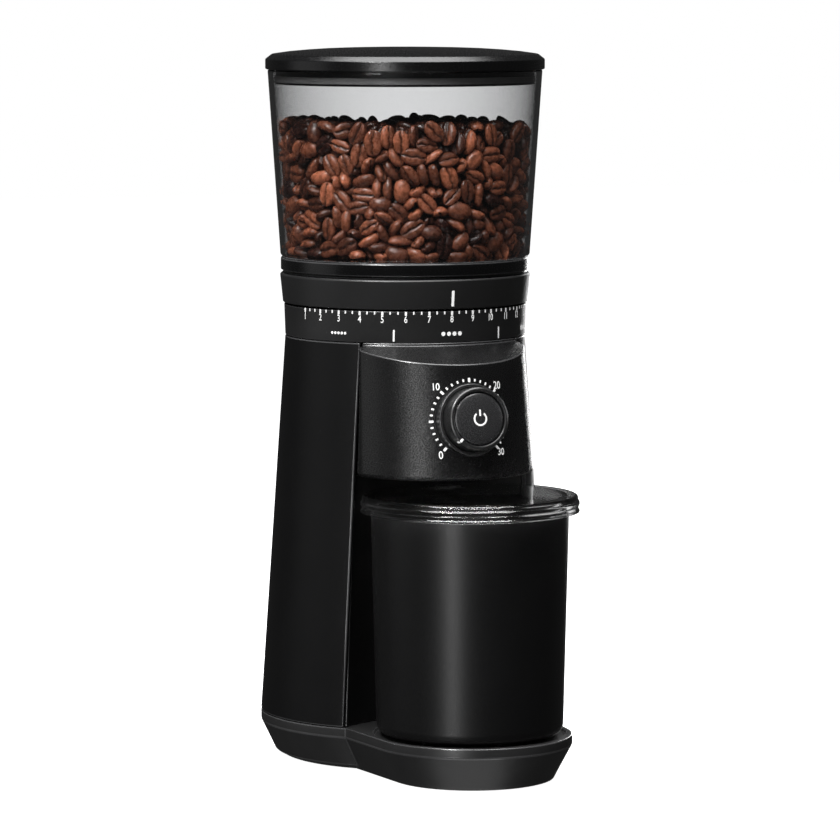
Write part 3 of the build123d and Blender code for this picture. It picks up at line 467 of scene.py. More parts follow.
def add_lid():
    """Hopper lid: shallow dome, stepped rim, and the plug wall with its groove for the seal."""
    corners = [
        (0, 413.0, 0), (15, 412.92, 0), (26, 412.75, 0), (38, 412.45, 0), (48, 412.05, 0),
        (58, 411.4, 0), (68, 410.5, 0), (77.3, 409.2, 0.8), (81.15, 406.2, 0.5), (81.15, 400.7, 0.5),
        (80.4, 400.3, 0.2), (75.2, 400.3, 0.2), (75.2, 397.2, 0.2), (74.0, 397.2, 0.1),
        (74.0, 393.0, 0.1), (75.2, 393.0, 0.2), (75.2, 392.0, 0.4), (72.0, 392.0, 0.4),
        (72.0, 405.7, 0.5), (58, 408.2, 0), (30, 409.6, 0), (0, 409.8, 0),
    ]
    turned("hopper_lid_skin", "hopper_lid", corners, BURR_AXIS,
           body="lid", key="lid", segments=256)


def add_hopper():
    """Clear flared hopper wall."""
    corners = [
        (69.6, 292.1, 0.4), (71.6, 292.1, 0.4), (72.6, 293.3, 0.5),
        (79.8, 400.0, 1.0), (76.8, 400.0, 1.0),
    ]
    turned("hopper_shell", "hopper", corners, BURR_AXIS,
           body="hopper_unit", key="hopper", segments=256)


def add_collar():
    """Grind collar: the flared band in sight, its web, and the sleeve round the burr carrier."""
    corners = [
        (62, 265.5, 0.2), (COLLAR_LOW_R, COLLAR_LOW_Z, 0.45), (COLLAR_HIGH_R, COLLAR_HIGH_Z, 0.6),
        (71.9, 282.5, 0.5), (64, 282.5, 0.3), (64, 270, 0.3), (47, 270, 0.3), (44.0, 269, 0.3),
        (44.0, 250.5, 0.3), (47, 250.5, 0.3), (47, 266.5, 0.3), (62, 266.5, 0.3),
    ]
    turned("grind_collar_skin", "grind_collar", corners, BURR_AXIS,
           body="collar", key="ring", segments=256)


def add_can():
    """Painted steel container with a rounded foot."""
    corners = [
        (0, 26.3, 0), (49.0, 26.3, 2.0), (52.2, 27.8, 1.6), (53.2, 31.0, 1.5), (56.2, 152.0, 0.4),
        (55.0, 152.3, 0.3), (52.0, 31.2, 1.5), (48.6, 27.6, 1.5), (0, 27.5, 0),
    ]
    turned("container_can", "grounds_container", corners, CAN_AXIS,
           body="container", key="can", segments=256)


def add_dial():
    """Timer dial: a ring round the start button, with a soft outer edge."""
    corners = [
        (9.0, -4.0, 0.1), (18.2, -4.0, 0.2), (17.9, 11.6, 0.45), (16.9, DIAL_FACE_Z, 0.3),
        (15.75, DIAL_FACE_Z, 0.25), (15.3, 11.7, 0.2), (15.3, 0.0, 0.2), (9.0, 0.0, 0.2),
    ]
    turned("dial_ring", "timer_dial", corners, DIAL_AXIS,
           body="dial", key="dial", segments=160)


def add_button():
    """Start button: a crowned cap on a stem."""
    corners = [
        (0, BUTTON_TOP_Z, 0), (4, 13.0, 0), (8, 12.8, 0), (11.5, 12.45, 0), (13.6, 12.0, 0),
        (14.7, 11.3, 0.3), (14.85, 10.4, 0.3), (14.85, 9.4, 0.2), (7.0, 9.4, 0.2), (6.9, 9.0, 0),
        (6.9, -6.0, 0.3), (0, -6.0, 0),
    ]
    turned("button_cap", "start_button", corners, DIAL_AXIS,
           body="button", key="button", segments=128)


# ---------------------------------------------------------------- container lid
CAP_R, CAP_GROOVE_R = 62.2, 61.5  # outer edge of the rim, and the groove round it
CAP_TOP_R = 61.3
FILLING_HOLE_R = 13.0
FILLING_HOLE_FORWARD = 60 * MM  # in front of the burr axis, under the chute


def add_cap():
    """Clear lid of the container: stepped rim, plug wall inside, and the round filling hole."""
    corners = [
        (0, 162.3, 0), (CAP_TOP_R, 162.3, 2.2), (CAP_TOP_R, 159.3, 0.3), (CAP_R, 158.6, 0.7),
        (CAP_R, 156.6, 0.4), (CAP_GROOVE_R, 156.0, 0.3), (CAP_GROOVE_R, 154.4, 0.2), (CAP_R, 153.7, 0.4),
        (CAP_R, 152.8, 0.3), (61.6, 152.7, 0.1), (60.0, 152.7, 0.4), (60.0, 159.0, 0.4),
        (54.9, 159.0, 0.4), (54.6, 148.2, 0.4), (52.8, 148.2, 0.4), (52.8, 160.0, 0.6), (0, 160.0, 0),
    ]
    mesh = lathe("container_cap", corners, 192)
    piece = add_piece("container_cap", mesh, "container", "cap", CAN_AXIS)
    plug = [(0, 150, 0), (FILLING_HOLE_R, 150, 0), (FILLING_HOLE_R, 170, 0), (0, 170, 0)]
    cutter = bpy.data.objects.new("cap_cutter", lathe("cap_cutter", plug, 64))
    cutter.data.transform(Matrix.Translation((0, AXIS_Y - FILLING_HOLE_FORWARD, 0)))
    bpy.context.scene.collection.objects.link(cutter)
    cut = piece.modifiers.new("hole", "BOOLEAN")
    cut.operation = "DIFFERENCE"
    cut.object = cutter
    apply_modifiers(piece)
    bpy.data.objects.remove(cutter)
    weigh_normals(piece)
    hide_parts("container_lid")


def apply_modifiers(piece):
    """Bake a piece's modifiers into its mesh."""
    graph = bpy.context.evaluated_depsgraph_get()
    mesh = bpy.data.meshes.new_from_object(piece.evaluated_get(graph))
    piece.modifiers.clear()
    piece.data = mesh


# ---------------------------------------------------------------- printed marks
MARK_RISE = 0.05 * MM  # printed marks stand this far proud, and reach as far in
TEXT_BOLDER = 0.008  # strokes grow by this share of the letter's em
TEXT_THICK = 0.012
BAR_CLIP = 0.18  # corner of a bar cut off, as a share of its short side
DISC_SIDES = 20


def flat_text(text, height, squeeze):
    """Closed mesh of a text, centred, of a given height in metres, narrowed by squeeze."""
    curve = bpy.data.curves.new("text", "FONT")
    curve.body = text
    curve.offset = TEXT_BOLDER
    curve.extrude = TEXT_THICK
    curve.resolution_u = 3
    holder = bpy.data.objects.new("text", curve)
    mesh = bpy.data.meshes.new_from_object(holder)
    bpy.data.objects.remove(holder)
    bpy.data.curves.remove(curve)
    points = np.empty(len(mesh.vertices) * 3)
    mesh.vertices.foreach_get("co", points)
    points = points.reshape(-1, 3)
    low, high = points.min(axis=0), points.max(axis=0)
    scale = height / (high[1] - low[1])
    mesh.transform(Matrix.Translation((-(low[0] + high[0]) / 2, -(low[1] + high[1]) / 2, 0)))
    mesh.transform(Matrix.Diagonal((scale * squeeze, scale, 1, 1)))
    for vertex in mesh.vertices:
        vertex.co.z = MARK_RISE if vertex.co.z > 0 else -MARK_RISE
    return mesh


def slab(outline):
    """Closed slab of MARK_RISE above and below z 0 over an outline."""
    shape = bmesh.new()
    upper = [shape.verts.new((point.x, point.y, MARK_RISE)) for point in outline]
    lower = [shape.verts.new((point.x, point.y, -MARK_RISE)) for point in outline]
    shape.faces.new(upper)
    shape.faces.new(list(reversed(lower)))
    for k in range(len(outline)):
        after = (k + 1) % len(outline)
        shape.faces.new([lower[k], lower[after], upper[after], upper[k]])
    return finished(shape, "slab")


def flat_bar(width, height):
    """Small slab with clipped corners, centred, in metres."""
    clip = BAR_CLIP * min(width, height)
    x, y = width / 2, height / 2
    outline = [
        (-x + clip, -y), (x - clip, -y), (x, -y + clip), (x, y - clip),
        (x - clip, y), (-x + clip, y), (-x, y - clip), (-x, -y + clip),
    ]
    return slab([Vector(point) for point in outline])


def flat_disc(radius):
    """Small round slab."""
    angles = [2 * math.pi * k / DISC_SIDES for k in range(DISC_SIDES)]
    return slab([Vector((radius * math.cos(a), radius * math.sin(a))) for a in angles])


def join(meshes, name):
    """One mesh out of several."""
    shape = bmesh.new()
    for mesh in meshes:
        shape.from_mesh(mesh)
        bpy.data.meshes.remove(mesh)
    return finished(shape, name)


def moved(mesh, x, y, turn=0.0):
    """Shift a flat mesh in its own plane, in metres, turned first."""
    mesh.transform(Matrix.Translation((x, y, 0)) @ Matrix.Rotation(turn, 4, "Z"))
    return mesh


RAY_START = 50 * MM  # well outside the surface that a mark is laid on
RING_LOW_R, RING_LOW_Z = 69.85, 246.6  # lower edge of the scale ring's face
RING_TALL, RING_FLARE = 17.4, 0.65  # from there it rises and widens by these
RING_STEP = math.radians(11.0) * 70.3 * MM  # between two grind numbers, along the ring
FIRST_GRIND, MIDDLE_GRIND, LAST_GRIND = 1, 8, 15
NUMBER_TICK, NUMBER_TICK_Z = (1.25 * MM, 2.3 * MM), 263.2 * MM
THIRD_TICK, THIRD_TICK_Z = (0.85 * MM, 1.7 * MM), 263.5 * MM
DIVIDER, DIVIDER_Z = (1.0 * MM, 6.6 * MM), 250.6 * MM
NUMBER_TALL, NUMBER_Z, DOT_Z = 4.0 * MM, 259.9 * MM, 251.4 * MM
GRIND_ZONES = ((3, 0.8, 5, 2.2), (8, 1.2, 4, 3.4), (13, 1.7, 3, 4.6))  # middle, dot radius, count, pitch


def wrap_on_cone(mesh, radius_at):
    """Bend a flat mesh (x along the arc, y up, z out) round the burr axis, x 0 facing forwards."""
    for vertex in mesh.vertices:
        height = vertex.co.y
        radius = radius_at(height)
        angle = vertex.co.x / radius
        reach = radius + vertex.co.z
        vertex.co = (reach * math.sin(angle), AXIS_Y - reach * math.cos(angle), height)
    mesh.update()


def project_on(mesh, surface, place):
    """Lay a flat mesh on a surface, along the local -Z of place."""
    out = place.to_3x3() @ Vector((0, 0, 1))
    for vertex in mesh.vertices:
        above = place @ Vector((vertex.co.x, vertex.co.y, RAY_START))
        hit = surface.ray_cast(above, -out)[0]
        vertex.co = hit + out * vertex.co.z
    mesh.update()


def ring_surface(height):
    """Radius of the scale ring at a height, in metres."""
    return (RING_LOW_R + (height / MM - RING_LOW_Z) / RING_TALL * RING_FLARE) * MM


def collar_surface(height):
    """Radius of the grind collar at a height, in metres."""
    rise = (height / MM - COLLAR_LOW_Z) / (COLLAR_HIGH_Z - COLLAR_LOW_Z)
    return (COLLAR_LOW_R + rise * (COLLAR_HIGH_R - COLLAR_LOW_R)) * MM


def around_ring(grind):
    """Distance along the ring of a grind number, from the one that faces forwards."""
    return (grind - MIDDLE_GRIND) * RING_STEP


def add_ring_marks():
    """Grind numbers 1 to 15 with ticks, dividers, and dots for fine, medium and coarse."""
    marks = []
    for grind in range(FIRST_GRIND, LAST_GRIND + 1):
        marks.append(moved(flat_bar(*NUMBER_TICK), around_ring(grind), NUMBER_TICK_Z))
        marks.append(moved(flat_text(str(grind), NUMBER_TALL, 0.74), around_ring(grind), NUMBER_Z))
        if grind < LAST_GRIND:
            for third in (1, 2):
                marks.append(moved(flat_bar(*THIRD_TICK), around_ring(grind + third / 3), THIRD_TICK_Z))
    for grind in (5.5, 10.5):
        marks.append(moved(flat_bar(*DIVIDER), around_ring(grind), DIVIDER_Z))
    for middle, radius, count, pitch in GRIND_ZONES:
        for index in range(count):
            from_middle = (index - (count - 1) / 2) * pitch * MM
            marks.append(moved(flat_disc(radius * MM), around_ring(middle) + from_middle, DOT_Z))
    mesh = join(marks, "ring_marks")
    wrap_on_cone(mesh, ring_surface)
    add_piece("ring_marks", mesh, "housing", "white")


def add_index_line():
    """White line on the collar that points at the chosen grind number."""
    line = moved(flat_bar(1.6 * MM, 9.0 * MM), 0, 271.6 * MM)
    wrap_on_cone(line, collar_surface)
    add_piece("index_line", line, "collar", "white")


DIAL_TICK_R = 22.6 * MM
DIAL_SECONDS = 30
DIAL_SWEEP = math.radians(270)
DIAL_ZERO = math.radians(225)
LONG_TICK, SHORT_TICK = (2.4 * MM, 1.35 * MM), (1.6 * MM, 1.0 * MM)  # length and width
DIAL_NUMBERS = (  # seconds, place across and up from the dial's centre, and height
    (0, -18.5, -19.1, 4.5), (10, -18.9, 19.6, 4.1), (20, 18.2, 19.3, 4.4), (30, 18.6, -18.5, 4.1),
)


def dial_angle(seconds):
    """Direction of a time on the dial, anticlockwise from the right."""
    return DIAL_ZERO - DIAL_SWEEP * seconds / DIAL_SECONDS


def add_dial_marks():
    """Second ticks and the numbers 0, 10, 20 and 30 round the timer dial, laid on the front panel."""
    panel_mesh = frame["nodes"]["front_panel"].data
    points = [vertex.co for vertex in panel_mesh.vertices]
    panel = BVHTree.FromPolygons(points, [face.vertices[:] for face in panel_mesh.polygons])
    marks = []
    for second in range(DIAL_SECONDS + 1):
        angle = dial_angle(second)
        length, width = LONG_TICK if second % 5 == 0 else SHORT_TICK
        x, y = DIAL_TICK_R * math.cos(angle), DIAL_TICK_R * math.sin(angle)
        marks.append(moved(flat_bar(length, width), x, y, angle))
    for number, x, y, height in DIAL_NUMBERS:
        marks.append(moved(flat_text(str(number), height * MM, 0.8), x * MM, y * MM))
    mesh = join(marks, "dial_marks")
    project_on(mesh, panel, DIAL_AXIS)
    add_piece("dial_marks", mesh, "housing", "white")


POINTER_WIDTH = 1.4 * MM


def add_pointer():
    """White pointer on the dial ring: over its face and a little way down its side."""
    face_line = moved(flat_bar(2.3 * MM, POINTER_WIDTH), 16.6 * MM, 0)
    face_line.transform(Matrix.Translation((0, 0, DIAL_FACE_Z * MM)))
    side_line = flat_bar(POINTER_WIDTH, 3.4 * MM)
    upright = Matrix.Rotation(math.pi / 2, 4, "Z") @ Matrix.Rotation(math.pi / 2, 4, "X")
    side_line.transform(Matrix.Translation((17.95 * MM, 0, 10.0 * MM)) @ upright)
    mesh = join([face_line, side_line], "dial_pointer")
    mesh.transform(Matrix.Rotation(DIAL_ZERO, 4, "Z"))
    add_piece("dial_pointer", mesh, "dial", "white", DIAL_AXIS)


SYMBOL_R, SYMBOL_STROKE = 3.6 * MM, 1.0 * MM
SYMBOL_GAP = math.radians(38)  # the circle is open this far to each side of its top
SYMBOL_STEPS = 40
BUTTON_CROWN = 0.0036  # the button's top falls by this much times the distance squared, mm


def add_start_symbol():
    """Generic start symbol on the button: an open circle with a short bar at the top."""
    outer, inner = [], []
    for step in range(SYMBOL_STEPS + 1):
        angle = math.pi / 2 + SYMBOL_GAP + (2 * math.pi - 2 * SYMBOL_GAP) * step / SYMBOL_STEPS
        direction = Vector((math.cos(angle), math.sin(angle)))
        outer.append(direction * (SYMBOL_R + SYMBOL_STROKE / 2))
        inner.append(direction * (SYMBOL_R - SYMBOL_STROKE / 2))
    pieces = []
    for step in range(SYMBOL_STEPS):
        pieces.append(slab([inner[step], outer[step], outer[step + 1], inner[step + 1]]))
    pieces.append(moved(flat_bar(SYMBOL_STROKE, 3.6 * MM), 0, 3.4 * MM))
    mesh = join(pieces, "start_symbol")
    for vertex in mesh.vertices:
        away = math.hypot(vertex.co.x, vertex.co.y) / MM
        vertex.co.z += (BUTTON_TOP_Z - BUTTON_CROWN * away ** 2) * MM
    add_piece("start_symbol", mesh, "button", "white", DIAL_AXIS)


# ---------------------------------------------------------------- coffee beans
BEAN_LONG, BEAN_WIDE, BEAN_DOME, BEAN_FLAT = 6.9, 4.9, 3.8, 2.3  # half sizes, mm
BEAN_COUNT = 900
BEANS_FLOOR, BEANS_TOP = 292.6, 367.5
TOP_LAYER, TOP_R = 8, 66  # this deep, beans lie across the whole heap, not only near the wall
TOP_SHARE = 0.17  # of the beans that start there
HOPPER_FLOOR, HOPPER_TALL = 292, 108
HOPPER_FLOOR_R, HOPPER_WIDENS = 69.6, 7.2
SHELL_DEPTH = 17.0  # beans are modelled this deep in from the wall, over a dark core that is painted shade for the beans deeper in
CENTRE_INSET = 4  # their centres stay this much shallower
BALLS = np.array([
    (0, 0, 0), (3.5, 0, 0), (-3.5, 0, 0), (1.5, 1.7, 0), (-1.5, -1.7, 0), (1.5, -1.7, 0), (-1.5, 1.7, 0),
])  # balls that stand for a bean while it is packed
BALL_R = 3.15
START_GAP, WALL_GAP = 3.2, 0.25  # from the wall: a bean's centre at first, and its balls later
SETTLE_STEPS = 70
PAIRS_EVERY, PAIR_REACH = 5, 15.5  # near pairs are found again after this many steps
PUSH_SHARE = 0.28  # share of an overlap that each ball of a pair gives way by, in one step
SINK, DRIFT_OUT = 0.05, 0.04  # beans sink and drift to the wall by this much in each step


def hopper_inside(z):
    """Inner radius of the hopper at a height, mm."""
    return HOPPER_FLOOR_R + (z - HOPPER_FLOOR) / HOPPER_TALL * HOPPER_WIDENS


def random_turns(rng, count):
    """Uniformly random rotation matrices."""
    q = rng.normal(size=(count, 4))
    q /= np.linalg.norm(q, axis=1)[:, None]
    w, x, y, z = q.T
    rows = [
        [1 - 2 * (y * y + z * z), 2 * (x * y - z * w), 2 * (x * z + y * w)],
        [2 * (x * y + z * w), 1 - 2 * (x * x + z * z), 2 * (y * z - x * w)],
        [2 * (x * z - y * w), 2 * (y * z + x * w), 1 - 2 * (x * x + y * y)],
    ]
    return np.array(rows).transpose(2, 0, 1)


def close_pairs(centres, reach):
    """Index pairs of beans whose centres are within reach."""
    apart = centres[:, None, :] - centres[None, :, :]
    near = (apart ** 2).sum(axis=2) < reach ** 2
    return np.nonzero(np.triu(near, 1))


def show_creases(centres, turns, rng):
    """Roll most beans that hide their crease about their long axis; the packing stays the same."""
    outward = centres * (1, 1, 0)
    hidden = np.einsum("ni,ni->n", turns[:, :, 2], outward) > 0
    rolled = hidden & (rng.random(len(centres)) < 0.75)
    turns[rolled] = turns[rolled] @ np.diag((1, -1, -1))
    return turns


def scatter_beans(rng):
    """First places, turns and sizes: most beans near the wall, some across the top of the heap."""
    z = rng.uniform(BEANS_FLOOR + 3, BEANS_TOP, BEAN_COUNT)
    r = hopper_inside(z) - START_GAP - (SHELL_DEPTH - CENTRE_INSET) * rng.random(BEAN_COUNT) ** 1.15
    top = rng.random(BEAN_COUNT) < TOP_SHARE
    z[top] = rng.uniform(BEANS_TOP - TOP_LAYER - 1, BEANS_TOP, top.sum())
    r[top] = TOP_R * np.sqrt(rng.random(top.sum()))
    angle = rng.uniform(0, 2 * math.pi, BEAN_COUNT)
    centres = np.stack([r * np.cos(angle), r * np.sin(angle), z], axis=1)
    turns = random_turns(rng, BEAN_COUNT)
    return centres, turns, rng.uniform(0.9, 1.1, BEAN_COUNT)


def push_apart(balls, first, second, size):
    """Move the balls of near beans out of each other, part of the way."""
    push = np.zeros_like(balls)
    apart = balls[first][:, :, None, :] - balls[second][:, None, :, :]
    distance = np.linalg.norm(apart, axis=3) + 1e-9
    overlap = np.maximum(0, BALL_R * (size[first] + size[second])[:, None, None] - distance)
    shift = apart * (overlap / distance)[..., None] * PUSH_SHARE
    np.add.at(push, first, shift.sum(axis=2))
    np.add.at(push, second, -shift.sum(axis=1))
    balls += push


def hold_inside(balls, size):
    """Keep the balls inside the hopper and, below the top layer, outside the core."""
    radius = np.hypot(balls[:, :, 0], balls[:, :, 1]) + 1e-9
    limit = hopper_inside(balls[:, :, 2]) - BALL_R * size[:, None] - WALL_GAP
    core = np.where(balls[:, :, 2] < BEANS_TOP - TOP_LAYER, limit - SHELL_DEPTH + CENTRE_INSET, 0)
    outward = np.clip(radius + DRIFT_OUT, core, None)
    held = np.minimum(outward, limit) / radius
    balls[:, :, 0] *= held
    balls[:, :, 1] *= held
    balls[:, :, 2] = np.clip(balls[:, :, 2], BEANS_FLOOR + BALL_R, BEANS_TOP + 1.5)


def fit_turns(balls, centres, turns):
    """The turns that best carry the ball pattern onto the moved balls, so each bean stays rigid."""
    pattern = BALLS - BALLS.mean(axis=0)
    cross = np.einsum("nbi,bj->nij", balls - centres[:, None, :], pattern)
    u, _, vt = np.linalg.svd(cross + 1e-6 * turns)
    flip = np.sign(np.linalg.det(u @ vt))
    u[:, :, 2] *= flip[:, None]
    return u @ vt


def pack_beans():
    """Settle beans between the hopper's wall and the core by pushing them apart as rigid bodies."""
    rng = np.random.default_rng(11)
    centres, turns, size = scatter_beans(rng)
    for step in range(SETTLE_STEPS):
        if step % PAIRS_EVERY == 0:
            first, second = close_pairs(centres, PAIR_REACH)
        scaled = BALLS[None] * size[:, None, None]
        balls = centres[:, None, :] + np.einsum("nij,nbj->nbi", turns, scaled)
        push_apart(balls, first, second, size)
        balls[:, :, 2] -= SINK
        hold_inside(balls, size)
        centres = balls.mean(axis=1)
        turns = fit_turns(balls, centres, turns)
    return centres, show_creases(centres, turns, rng), size, rng


BEAN_DROOP = 0.25  # the ends of a bean lie this much lower than its middle
CREASE_DEPTH, CREASE_WIDTH = 1.25, 0.55


def bean_shape(rng, rounds, lengths):
    """One bean, in mm: domed on one side, flat with a wavy crease on the other."""
    around = np.linspace(0, 2 * math.pi, rounds, endpoint=False)
    around = around + 0.35 * np.sin(2 * around)  # closer together at the crease and over the back
    along = np.linspace(0, math.pi, lengths + 2)[1:-1]
    bend, twist, plump = rng.uniform(-0.5, 0.5), rng.uniform(-0.12, 0.12), rng.uniform(0.92, 1.08)
    wave = rng.uniform(0.25, 0.7) * rng.choice((-1, 1))
    points, creases = [], []
    for t in along:
        x = BEAN_LONG * math.cos(t)
        ends = (x / BEAN_LONG) ** 2
        body = math.sin(t) ** 0.82
        crease_y = wave * math.sin(1.1 * x) * 0.6
        for u in around:
            y = BEAN_WIDE * body * math.cos(u) * plump
            high = math.sin(u)
            if high >= 0:
                z = BEAN_DOME * high * body
                crease = 0.0
            else:
                crease = math.exp(-((y - crease_y) / CREASE_WIDTH) ** 2) * min(1.0, body * 1.4)
                z = BEAN_FLAT * math.copysign(abs(high) ** 0.55, high) * body + CREASE_DEPTH * crease
            points.append((x, y + bend * ends + twist * z, z - BEAN_DROOP * ends))
            creases.append(crease)
    points += [(BEAN_LONG, bend, -BEAN_DROOP), (-BEAN_LONG, bend, -BEAN_DROOP)]
    creases += [0.0, 0.0]
    near_pole, far_pole = lengths * rounds, lengths * rounds + 1
    last = (lengths - 1) * rounds
    faces = []
    for k in range(rounds):
        after = (k + 1) % rounds
        for ring in range(0, last, rounds):
            faces.append((ring + k, ring + after, ring + after + rounds, ring + k + rounds))
        faces.append((near_pole, after, k))
        faces.append((far_pole, last + k, last + after))
    return np.array(points), faces, np.array(creases)


BEAN_VARIANTS, BEAN_PIECES = 8, 5
# painted shade in a bean's crease, at most this share
CREASE_PAINTED_SHADE = 0.95
PAINTED_SHADE_START, PAINTED_SHADE_REACH, PAINTED_SHADE_MOST = 1.5, 4.5, 0.92  # painted shade: beans darken with depth behind the wall


def add_beans():
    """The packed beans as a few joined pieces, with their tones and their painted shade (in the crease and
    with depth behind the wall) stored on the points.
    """
    centres, turns, size, rng = pack_beans()
    variants = [bean_shape(rng, 22, 13) for _ in range(BEAN_VARIANTS)]
    order = np.argsort(np.arctan2(centres[:, 1], centres[:, 0]))
    for number, group in enumerate(np.array_split(order, BEAN_PIECES), start=1):
        points, faces, tones, creases = [], [], [], []
        start = 0
        for index in group:
            shape, shape_faces, shape_creases = variants[index % BEAN_VARIANTS]
            points.append(centres[index] + (shape * size[index]) @ turns[index].T)
            faces += [tuple(corner + start for corner in face) for face in shape_faces]
            start += len(shape)
            tones += [float(np.clip(rng.normal(0.38, 0.27), 0, 1))] * len(shape)
            creases += list(shape_creases)
        points = np.concatenate(points)
        # painted shade from depth behind the wall and in the crease, stored together as the crease
        # attribute
        depth = hopper_inside(points[:, 2]) - np.hypot(points[:, 0], points[:, 1])
        depth_painted_shade = np.clip((depth - PAINTED_SHADE_START) / PAINTED_SHADE_REACH, 0, PAINTED_SHADE_MOST)
        dark = np.maximum(CREASE_PAINTED_SHADE * np.array(creases), depth_painted_shade)
        points *= MM
        points[:, 1] += AXIS_Y
        name = "beans_%d" % number
        mesh = bpy.data.meshes.new(name)
        mesh.from_pydata(points.tolist(), [], faces)
        mesh.shade_smooth()
        mesh.attributes.new("tone", "FLOAT", "POINT").data.foreach_set("value", tones)
        mesh.attributes.new("crease", "FLOAT", "POINT").data.foreach_set("value", dark)
        add_piece(name, mesh, "hopper_unit", "bean")


CORE_RINGS, CORE_SEGMENTS = 26, 96
CORE_LOW, CORE_HIGH = 299, BEANS_TOP - 7
CORE_SIDE = 0.7  # share of the core's rings on its side, the rest being over its top
CORE_LUMPS = 1.1


def core_profile(t):
    """Radius and height of the core from its foot, t 0, to the middle of its top, t 1."""
    if t < CORE_SIDE:
        z = CORE_LOW + (CORE_HIGH - CORE_LOW) * t / CORE_SIDE
        return hopper_inside(z) - SHELL_DEPTH + 2.5, z
    over = (t - CORE_SIDE) / (1 - CORE_SIDE)
    z = CORE_HIGH + 1.5 * math.sin(over * math.pi / 2)
    return (hopper_inside(z) - SHELL_DEPTH + 2.5) * (1 - over) + 0.5, z


def add_bean_core():
    """Lumpy dark heap that the modelled beans lie on: painted shade for the beans deeper in, as it stores
    no tone and takes the darkest bean colour.
    """
    lumps = np.random.default_rng(5).normal(size=(CORE_RINGS, CORE_SEGMENTS)) * CORE_LUMPS
    shape = bmesh.new()
    grid = []
    for row in range(CORE_RINGS):
        r, z = core_profile(row / (CORE_RINGS - 1))
        line = []
        for k in range(CORE_SEGMENTS):
            a = 2 * math.pi * k / CORE_SEGMENTS
            reach = (r + lumps[row, k]) * MM
            line.append(shape.verts.new((reach * math.cos(a), reach * math.sin(a), z * MM)))
        grid.append(line)
    for lower, upper in zip(grid, grid[1:]):
        for k in range(CORE_SEGMENTS):
            after = (k + 1) % CORE_SEGMENTS
            shape.faces.new([lower[k], lower[after], upper[after], upper[k]])
    shape.faces.new(list(reversed(grid[0])))
    shape.faces.new(grid[-1])
    bmesh.ops.recalc_face_normals(shape, faces=shape.faces)
    mesh = finished(shape, "bean_core")
    mesh.shade_smooth()
    add_piece("bean_core", mesh, "hopper_unit", "bean", BURR_AXIS)


# ---------------------------------------------------------------- camera
VIEW_AZIMUTH = math.radians(-22.5)
CAMERA_REACH = 2.735  # level distance from the burr axis
CAMERA_HEIGHT = 0.4685
CAMERA_PITCH = math.radians(5.7)
CAMERA_ASIDE = 0.0087  # to the right
FOCAL_LENGTH, SENSOR = 201.43, 36  # mm


def add_camera():
    """Long-lens camera at the front left, a little above, looking slightly down."""
    data = bpy.data.cameras.new("camera")
    data.lens = FOCAL_LENGTH
    data.sensor_width = SENSOR
    data.clip_end = 50
    camera = bpy.data.objects.new("camera", data)
    bpy.context.scene.collection.objects.link(camera)
    right = Vector((math.cos(VIEW_AZIMUTH), math.sin(VIEW_AZIMUTH), 0))
    level = Vector((-math.sin(VIEW_AZIMUTH), math.cos(VIEW_AZIMUTH), 0))
    camera.location = Vector((0, AXIS_Y, CAMERA_HEIGHT)) - level * CAMERA_REACH + right * CAMERA_ASIDE
    camera.rotation_euler = (math.pi / 2 - CAMERA_PITCH, 0, VIEW_AZIMUTH)
    bpy.context.scene.camera = camera


# ---------------------------------------------------------------- light
ROOM_LIGHT = 0.035
TARGET_FORWARD = 0.03  # the lamps aim at a point this far in front of the burr axis


def seen_directly(nodes, links):
    """1 where the room is looked at straight or through clear plastic, 0 in reflections and as light."""
    path = nodes.new("ShaderNodeLightPath")
    bounces = nodes.new("ShaderNodeMath")
    bounces.operation = "ADD"
    links.new(path.outputs["Diffuse Depth"], bounces.inputs[0])
    links.new(path.outputs["Glossy Depth"], bounces.inputs[1])
    none = nodes.new("ShaderNodeMath")
    none.operation = "LESS_THAN"
    none.inputs[1].default_value = 0.5
    links.new(bounces.outputs[0], none.inputs[0])
    return none.outputs[0]


def white(nodes, strength):
    """Plain white background of a given strength."""
    background = nodes.new("ShaderNodeBackground")
    background.inputs["Color"].default_value = (1, 1, 1, 1)
    background.inputs["Strength"].default_value = strength
    return background.outputs[0]


def add_world():
    """White when looked at, and a dim room to reflections and as light."""
    world = bpy.data.worlds.new("studio")
    bpy.context.scene.world = world
    world.use_nodes = True
    nodes, links = world.node_tree.nodes, world.node_tree.links
    nodes.clear()
    output = nodes.new("ShaderNodeOutputWorld")
    mix = nodes.new("ShaderNodeMixShader")
    links.new(seen_directly(nodes, links), mix.inputs[0])
    links.new(white(nodes, ROOM_LIGHT), mix.inputs[1])
    links.new(white(nodes, 1.0), mix.inputs[2])
    links.new(mix.outputs[0], output.inputs["Surface"])


def add_softbox(name, azimuth, elevation, distance, width, height, power, target_z=0.2):
    """Rectangular area light that stands at this azimuth and elevation, aimed at the object."""
    data = bpy.data.lights.new(name, "AREA")
    data.shape = "RECTANGLE"
    data.size = width
    data.size_y = height
    data.energy = power
    light = bpy.data.objects.new(name, data)
    bpy.context.scene.collection.objects.link(light)
    a, e = math.radians(azimuth), math.radians(elevation)
    target = Vector((0, AXIS_Y - TARGET_FORWARD, target_z))
    away = Vector((math.sin(a) * math.cos(e), -math.cos(a) * math.cos(e), math.sin(e)))
    light.location = target + away * distance
    light.rotation_euler = (-away).to_track_quat("-Z", "Y").to_euler()
    return light


def spare(light, *pieces):
    """Keep a lamp off some pieces."""
    group = bpy.data.collections.new(light.name + "_spared")
    light.light_linking.receiver_collection = group
    for piece in pieces:
        group.objects.link(piece)
    for member in group.collection_objects:
        member.light_linking.link_state = "EXCLUDE"


def aim_only_at(light, *pieces):
    """Let a lamp light some pieces and nothing else."""
    group = bpy.data.collections.new(light.name + "_lit")
    light.light_linking.receiver_collection = group
    for piece in pieces:
        group.objects.link(piece)


